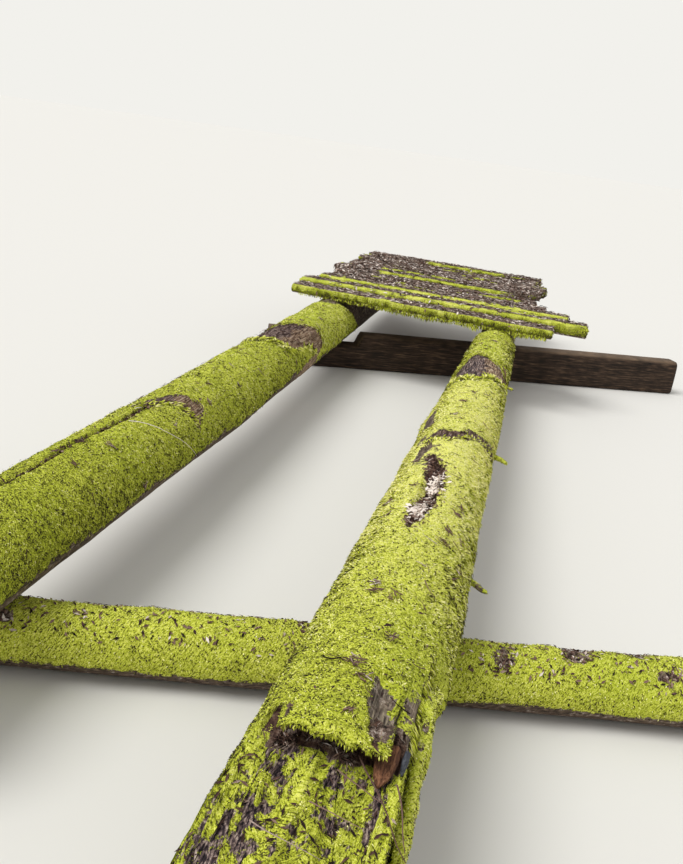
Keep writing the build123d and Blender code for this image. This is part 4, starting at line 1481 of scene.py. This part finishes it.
def on_the_skin(log, starts):
    """Keeps the places along and round a log that lie on its skin, and drops those on the flank that is
    lost."""
    lost = (log is RIGHT) & (starts[:, 0] < FLANK_Y + 0.08) & (starts[:, 1] > 38)
    return starts[~lost]


def shell_twig_paths():
    """Twigs on the lower shell: lines between their ends on the shell's slope, bent by noise."""
    share = np.linspace(0, 1, 8)[:, None]
    paths = []
    for start, end in SHELL_TWIGS:
        x = start[0] + (end[0] - start[0]) * share
        depth = start[1] + (end[1] - start[1]) * share
        height = SHELL_Z + 0.03 - SHELL_DROP / SHELL_REACH * depth
        bend = 0.012 * noise(np.concatenate([x, depth, height], 1), 0.09, 97)[:, None]
        paths.append(np.concatenate([x + bend, LIP_Y - depth, height + 0.4 * bend], 1))
    return np.array(paths)


def pale_twig_path():
    """A long pale twig bent round the left log: joined lines over place and angle, bowed up by a half
    sine."""
    share = np.linspace(0, 1, 12)
    y = np.interp(share, [0, 0.4, 1], [0.91, 1.07, 1.4])
    degrees = np.interp(share, [0, 0.4, 1], [12, 51, 103])
    return log_point(LEFT, y, degrees, 0.012 + 0.01 * np.sin(pi * share))[None]


class FOOTBRIDGE_OT_litter(bpy.types.Operator):
    """Scatters redwood needles, twigs, bark crumbs and pale chips over the logs and the deck"""

    bl_idname = "footbridge.litter"
    bl_label = "Litter"

    def execute(self, context):
        rng = np.random.default_rng(LITTER_SEED)
        dry = litter_wood()
        share = context.scene.footbridge.litter_count // len(SLABS)
        for index in range(len(SLABS)):
            name, node = f"deck_litter_{index + 1}", f"deck_slab_{index + 1}"
            tones = (0.52, 0.36) if index < 3 else (0.48, 0.34)
            lying_leaves(name, node, share, topside, (0.018, 0.07), 0.3, tones, 0.28, 0.008, dry, rng)
        for row in SKIN_LITTER:
            lying_leaves(*row, dry, rng)

        for side, log in (("right", RIGHT), ("left", LEFT)):
            starts = on_the_skin(log, random_places(rng, LOG_TWIGS, (-1.0, 5.2), (6, 32), (-80, 85)))
            heading = rng.uniform(-pi, pi, len(starts))
            lying_twigs(f"{side}_log_twigs", log, starts, heading, (0.03, 0.09), (0.42, 0.2), dry, rng)
            starts = on_the_skin(log, random_places(rng, LOG_LEAVES, (-1.1, 5.2), (5, 38), (-85, 90)))
            length, tone = rng.uniform(0.007, 0.02, len(starts)), rng.uniform(0, 0.45, len(starts))
            log_leaves(f"{side}_log_leaves", log, starts, length, tone, dry, rng)
        centres = [(-0.84, -4.5), (-0.91, 4.6), (-1.09, 5.3), (-0.31, -12), (-0.39, 3), (0.3, -9), (0.36, -3)]
        centres = np.concatenate([centres, random_places(rng, RIGHT_SPRAYS, (-1, 5), (-5, 28))])
        sprays("right_log_sprays", RIGHT, on_the_skin(RIGHT, centres), dry, rng)
        sprays("left_log_sprays", LEFT, random_places(rng, LEFT_SPRAYS, (-0.6, 5), (10, 30)), dry, rng)
        places = np.array([(-0.62, 5.0), (3.79, 61.0), (-0.44, 24.0), (0.1, 46.0)])
        length, tone = np.array([0.04, 0.12, 0.03, 0.035]), np.array([0.12, 0.6, 0.3, 0.7])
        log_leaves("right_log_large_leaves", RIGHT, places, length, tone, dry, rng)
        twigs = len(SHELL_TWIGS)
        thickness, tone = np.linspace(0.0065, 0.004, twigs), np.linspace(0.4, 0.75, twigs)
        add_twigs("butt_twigs", shell_twig_paths(), thickness, tone, dry)
        add_twigs("pale_twig", pale_twig_path(), np.array([0.005]), np.array([0.97]), dry)
        return {"FINISHED"}


# The camera, fitted to the edges of the logs and the slabs, with its focal length in pixels of the frame
CAMERA_PLACE = (1.08, -3.144, 2.217)
CAMERA_YAW = radians(-10.42)
CAMERA_PITCH = radians(17.832)
CAMERA_ROLL = radians(7.825)
FOCAL_PIXELS = 909.0
FRAME_HEIGHT = 864
SENSOR = 36
KEY_DIRECTION = (0.42, 0.3, -0.86)
FLOOR_HALF = 400.0


def add_floor(settings):
    """A wide pale matt floor just under the bridge: painted board, which spreads the light and shows no
    pattern."""
    corners = ((-1, -1), (1, -1), (1, 1), (-1, 1))
    mesh = bpy.data.meshes.new("floor")
    mesh.from_pydata([(x * FLOOR_HALF, y * FLOOR_HALF, -0.001) for x, y in corners], [], [(0, 1, 2, 3)])
    floor = bpy.data.objects.new("floor", mesh)
    bpy.context.scene.collection.objects.link(floor)
    material, _, shader = new_material("pale_matt_floor")
    shader.inputs["Base Color"].default_value = settings.floor_colour
    shader.inputs["Roughness"].default_value = 0.95
    mesh.materials.append(material)


def add_sky(settings):
    """An even white light all round, which the camera, gloss and glass see as the pale backdrop."""
    sky = bpy.data.worlds.new("studio")
    bpy.context.scene.world = sky
    sky.use_nodes = True
    tree = sky.node_tree
    tree.nodes.clear()
    seen = add_node(tree, "LightPath", out="Is Camera Ray")
    rays = seen.node.outputs
    for kind in ("Is Glossy Ray", "Is Transmission Ray"):
        seen = add_node(tree, "Math", {0: seen, 1: rays[kind]}, operation="MAXIMUM")
    even_light = add_node(tree, "Background", {"Color": (1, 1, 1, 1), "Strength": settings.sky_strength})
    backdrop = add_node(tree, "Background", {"Color": settings.backdrop_colour, "Strength": 1.0})
    mixed = add_node(tree, "MixShader", {0: seen, 1: even_light, 2: backdrop})
    add_node(tree, "OutputWorld", {"Surface": mixed})


def add_camera():
    """The camera, from its place and its three directions: ahead by yaw and pitch, and the other two
    rolled."""
    reach = cos(CAMERA_PITCH)
    ahead = Vector((sin(CAMERA_YAW) * reach, cos(CAMERA_YAW) * reach, -sin(CAMERA_PITCH)))
    level = ahead.cross(Vector((0, 0, 1))).normalized()
    above = level.cross(ahead)
    rightwards = level * cos(CAMERA_ROLL) + above * sin(CAMERA_ROLL)
    upwards = above * cos(CAMERA_ROLL) - level * sin(CAMERA_ROLL)
    lens = bpy.data.cameras.new("camera")
    lens.sensor_width = SENSOR
    lens.lens = FOCAL_PIXELS * SENSOR / FRAME_HEIGHT
    lens.clip_end = 2000
    camera = bpy.data.objects.new("camera", lens)
    turned = Matrix((rightwards, upwards, -ahead)).transposed().to_4x4()
    camera.matrix_world = Matrix.Translation(CAMERA_PLACE) @ turned
    bpy.context.scene.collection.objects.link(camera)
    bpy.context.scene.camera = camera


class FOOTBRIDGE_OT_stage(bpy.types.Operator):
    """Adds the pale floor, the soft light and the camera"""

    bl_idname = "footbridge.stage"
    bl_label = "Stage"

    def execute(self, context):
        settings = context.scene.footbridge
        add_floor(settings)
        add_sky(settings)
        lamp = bpy.data.lights.new("key", "SUN")
        lamp.energy = settings.key_strength
        lamp.angle = radians(35)
        key = bpy.data.objects.new("key", lamp)
        key.rotation_euler = Vector(KEY_DIRECTION).to_track_quat("-Z", "Y").to_euler()
        context.scene.collection.objects.link(key)
        add_camera()
        context.scene.view_settings.view_transform = "Standard"
        return {"FINISHED"}


OPERATORS = (
    FOOTBRIDGE_OT_right_log,
    FOOTBRIDGE_OT_left_log,
    FOOTBRIDGE_OT_near_sill,
    FOOTBRIDGE_OT_far_sill,
    FOOTBRIDGE_OT_deck_slabs,
    FOOTBRIDGE_OT_butt_pieces,
    FOOTBRIDGE_OT_branch_stubs,
    FOOTBRIDGE_OT_moss,
    FOOTBRIDGE_OT_litter,
    FOOTBRIDGE_OT_stage,
)


class FOOTBRIDGE_PT_panel(bpy.types.Panel):
    """Lists the footbridge's sizes, colours and pieces"""

    bl_idname = "FOOTBRIDGE_PT_panel"
    bl_label = "Log footbridge"
    bl_space_type = "VIEW_3D"
    bl_region_type = "UI"
    bl_category = "Footbridge"

    def draw(self, context):
        """One field for each setting, and one button for each operator."""
        for key in FootbridgeSettings.__annotations__:
            self.layout.prop(context.scene.footbridge, key)
        for operator in OPERATORS:
            self.layout.operator(operator.bl_idname)


CLASSES = (FootbridgeSettings, *OPERATORS, FOOTBRIDGE_PT_panel)


def register():
    """Registers the classes and gives the scene its settings."""
    for cls in CLASSES:
        bpy.utils.register_class(cls)
    bpy.types.Scene.footbridge = PointerProperty(type=FootbridgeSettings)


def unregister():
    """Takes the settings off the scene and removes the classes."""
    del bpy.types.Scene.footbridge
    for cls in reversed(CLASSES):
        bpy.utils.unregister_class(cls)


def main():
    """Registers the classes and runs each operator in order."""
    register()
    for operator in OPERATORS:
        group, name = operator.bl_idname.split(".")
        getattr(getattr(bpy.ops, group), name)()


if __name__ == "__main__":
    main()
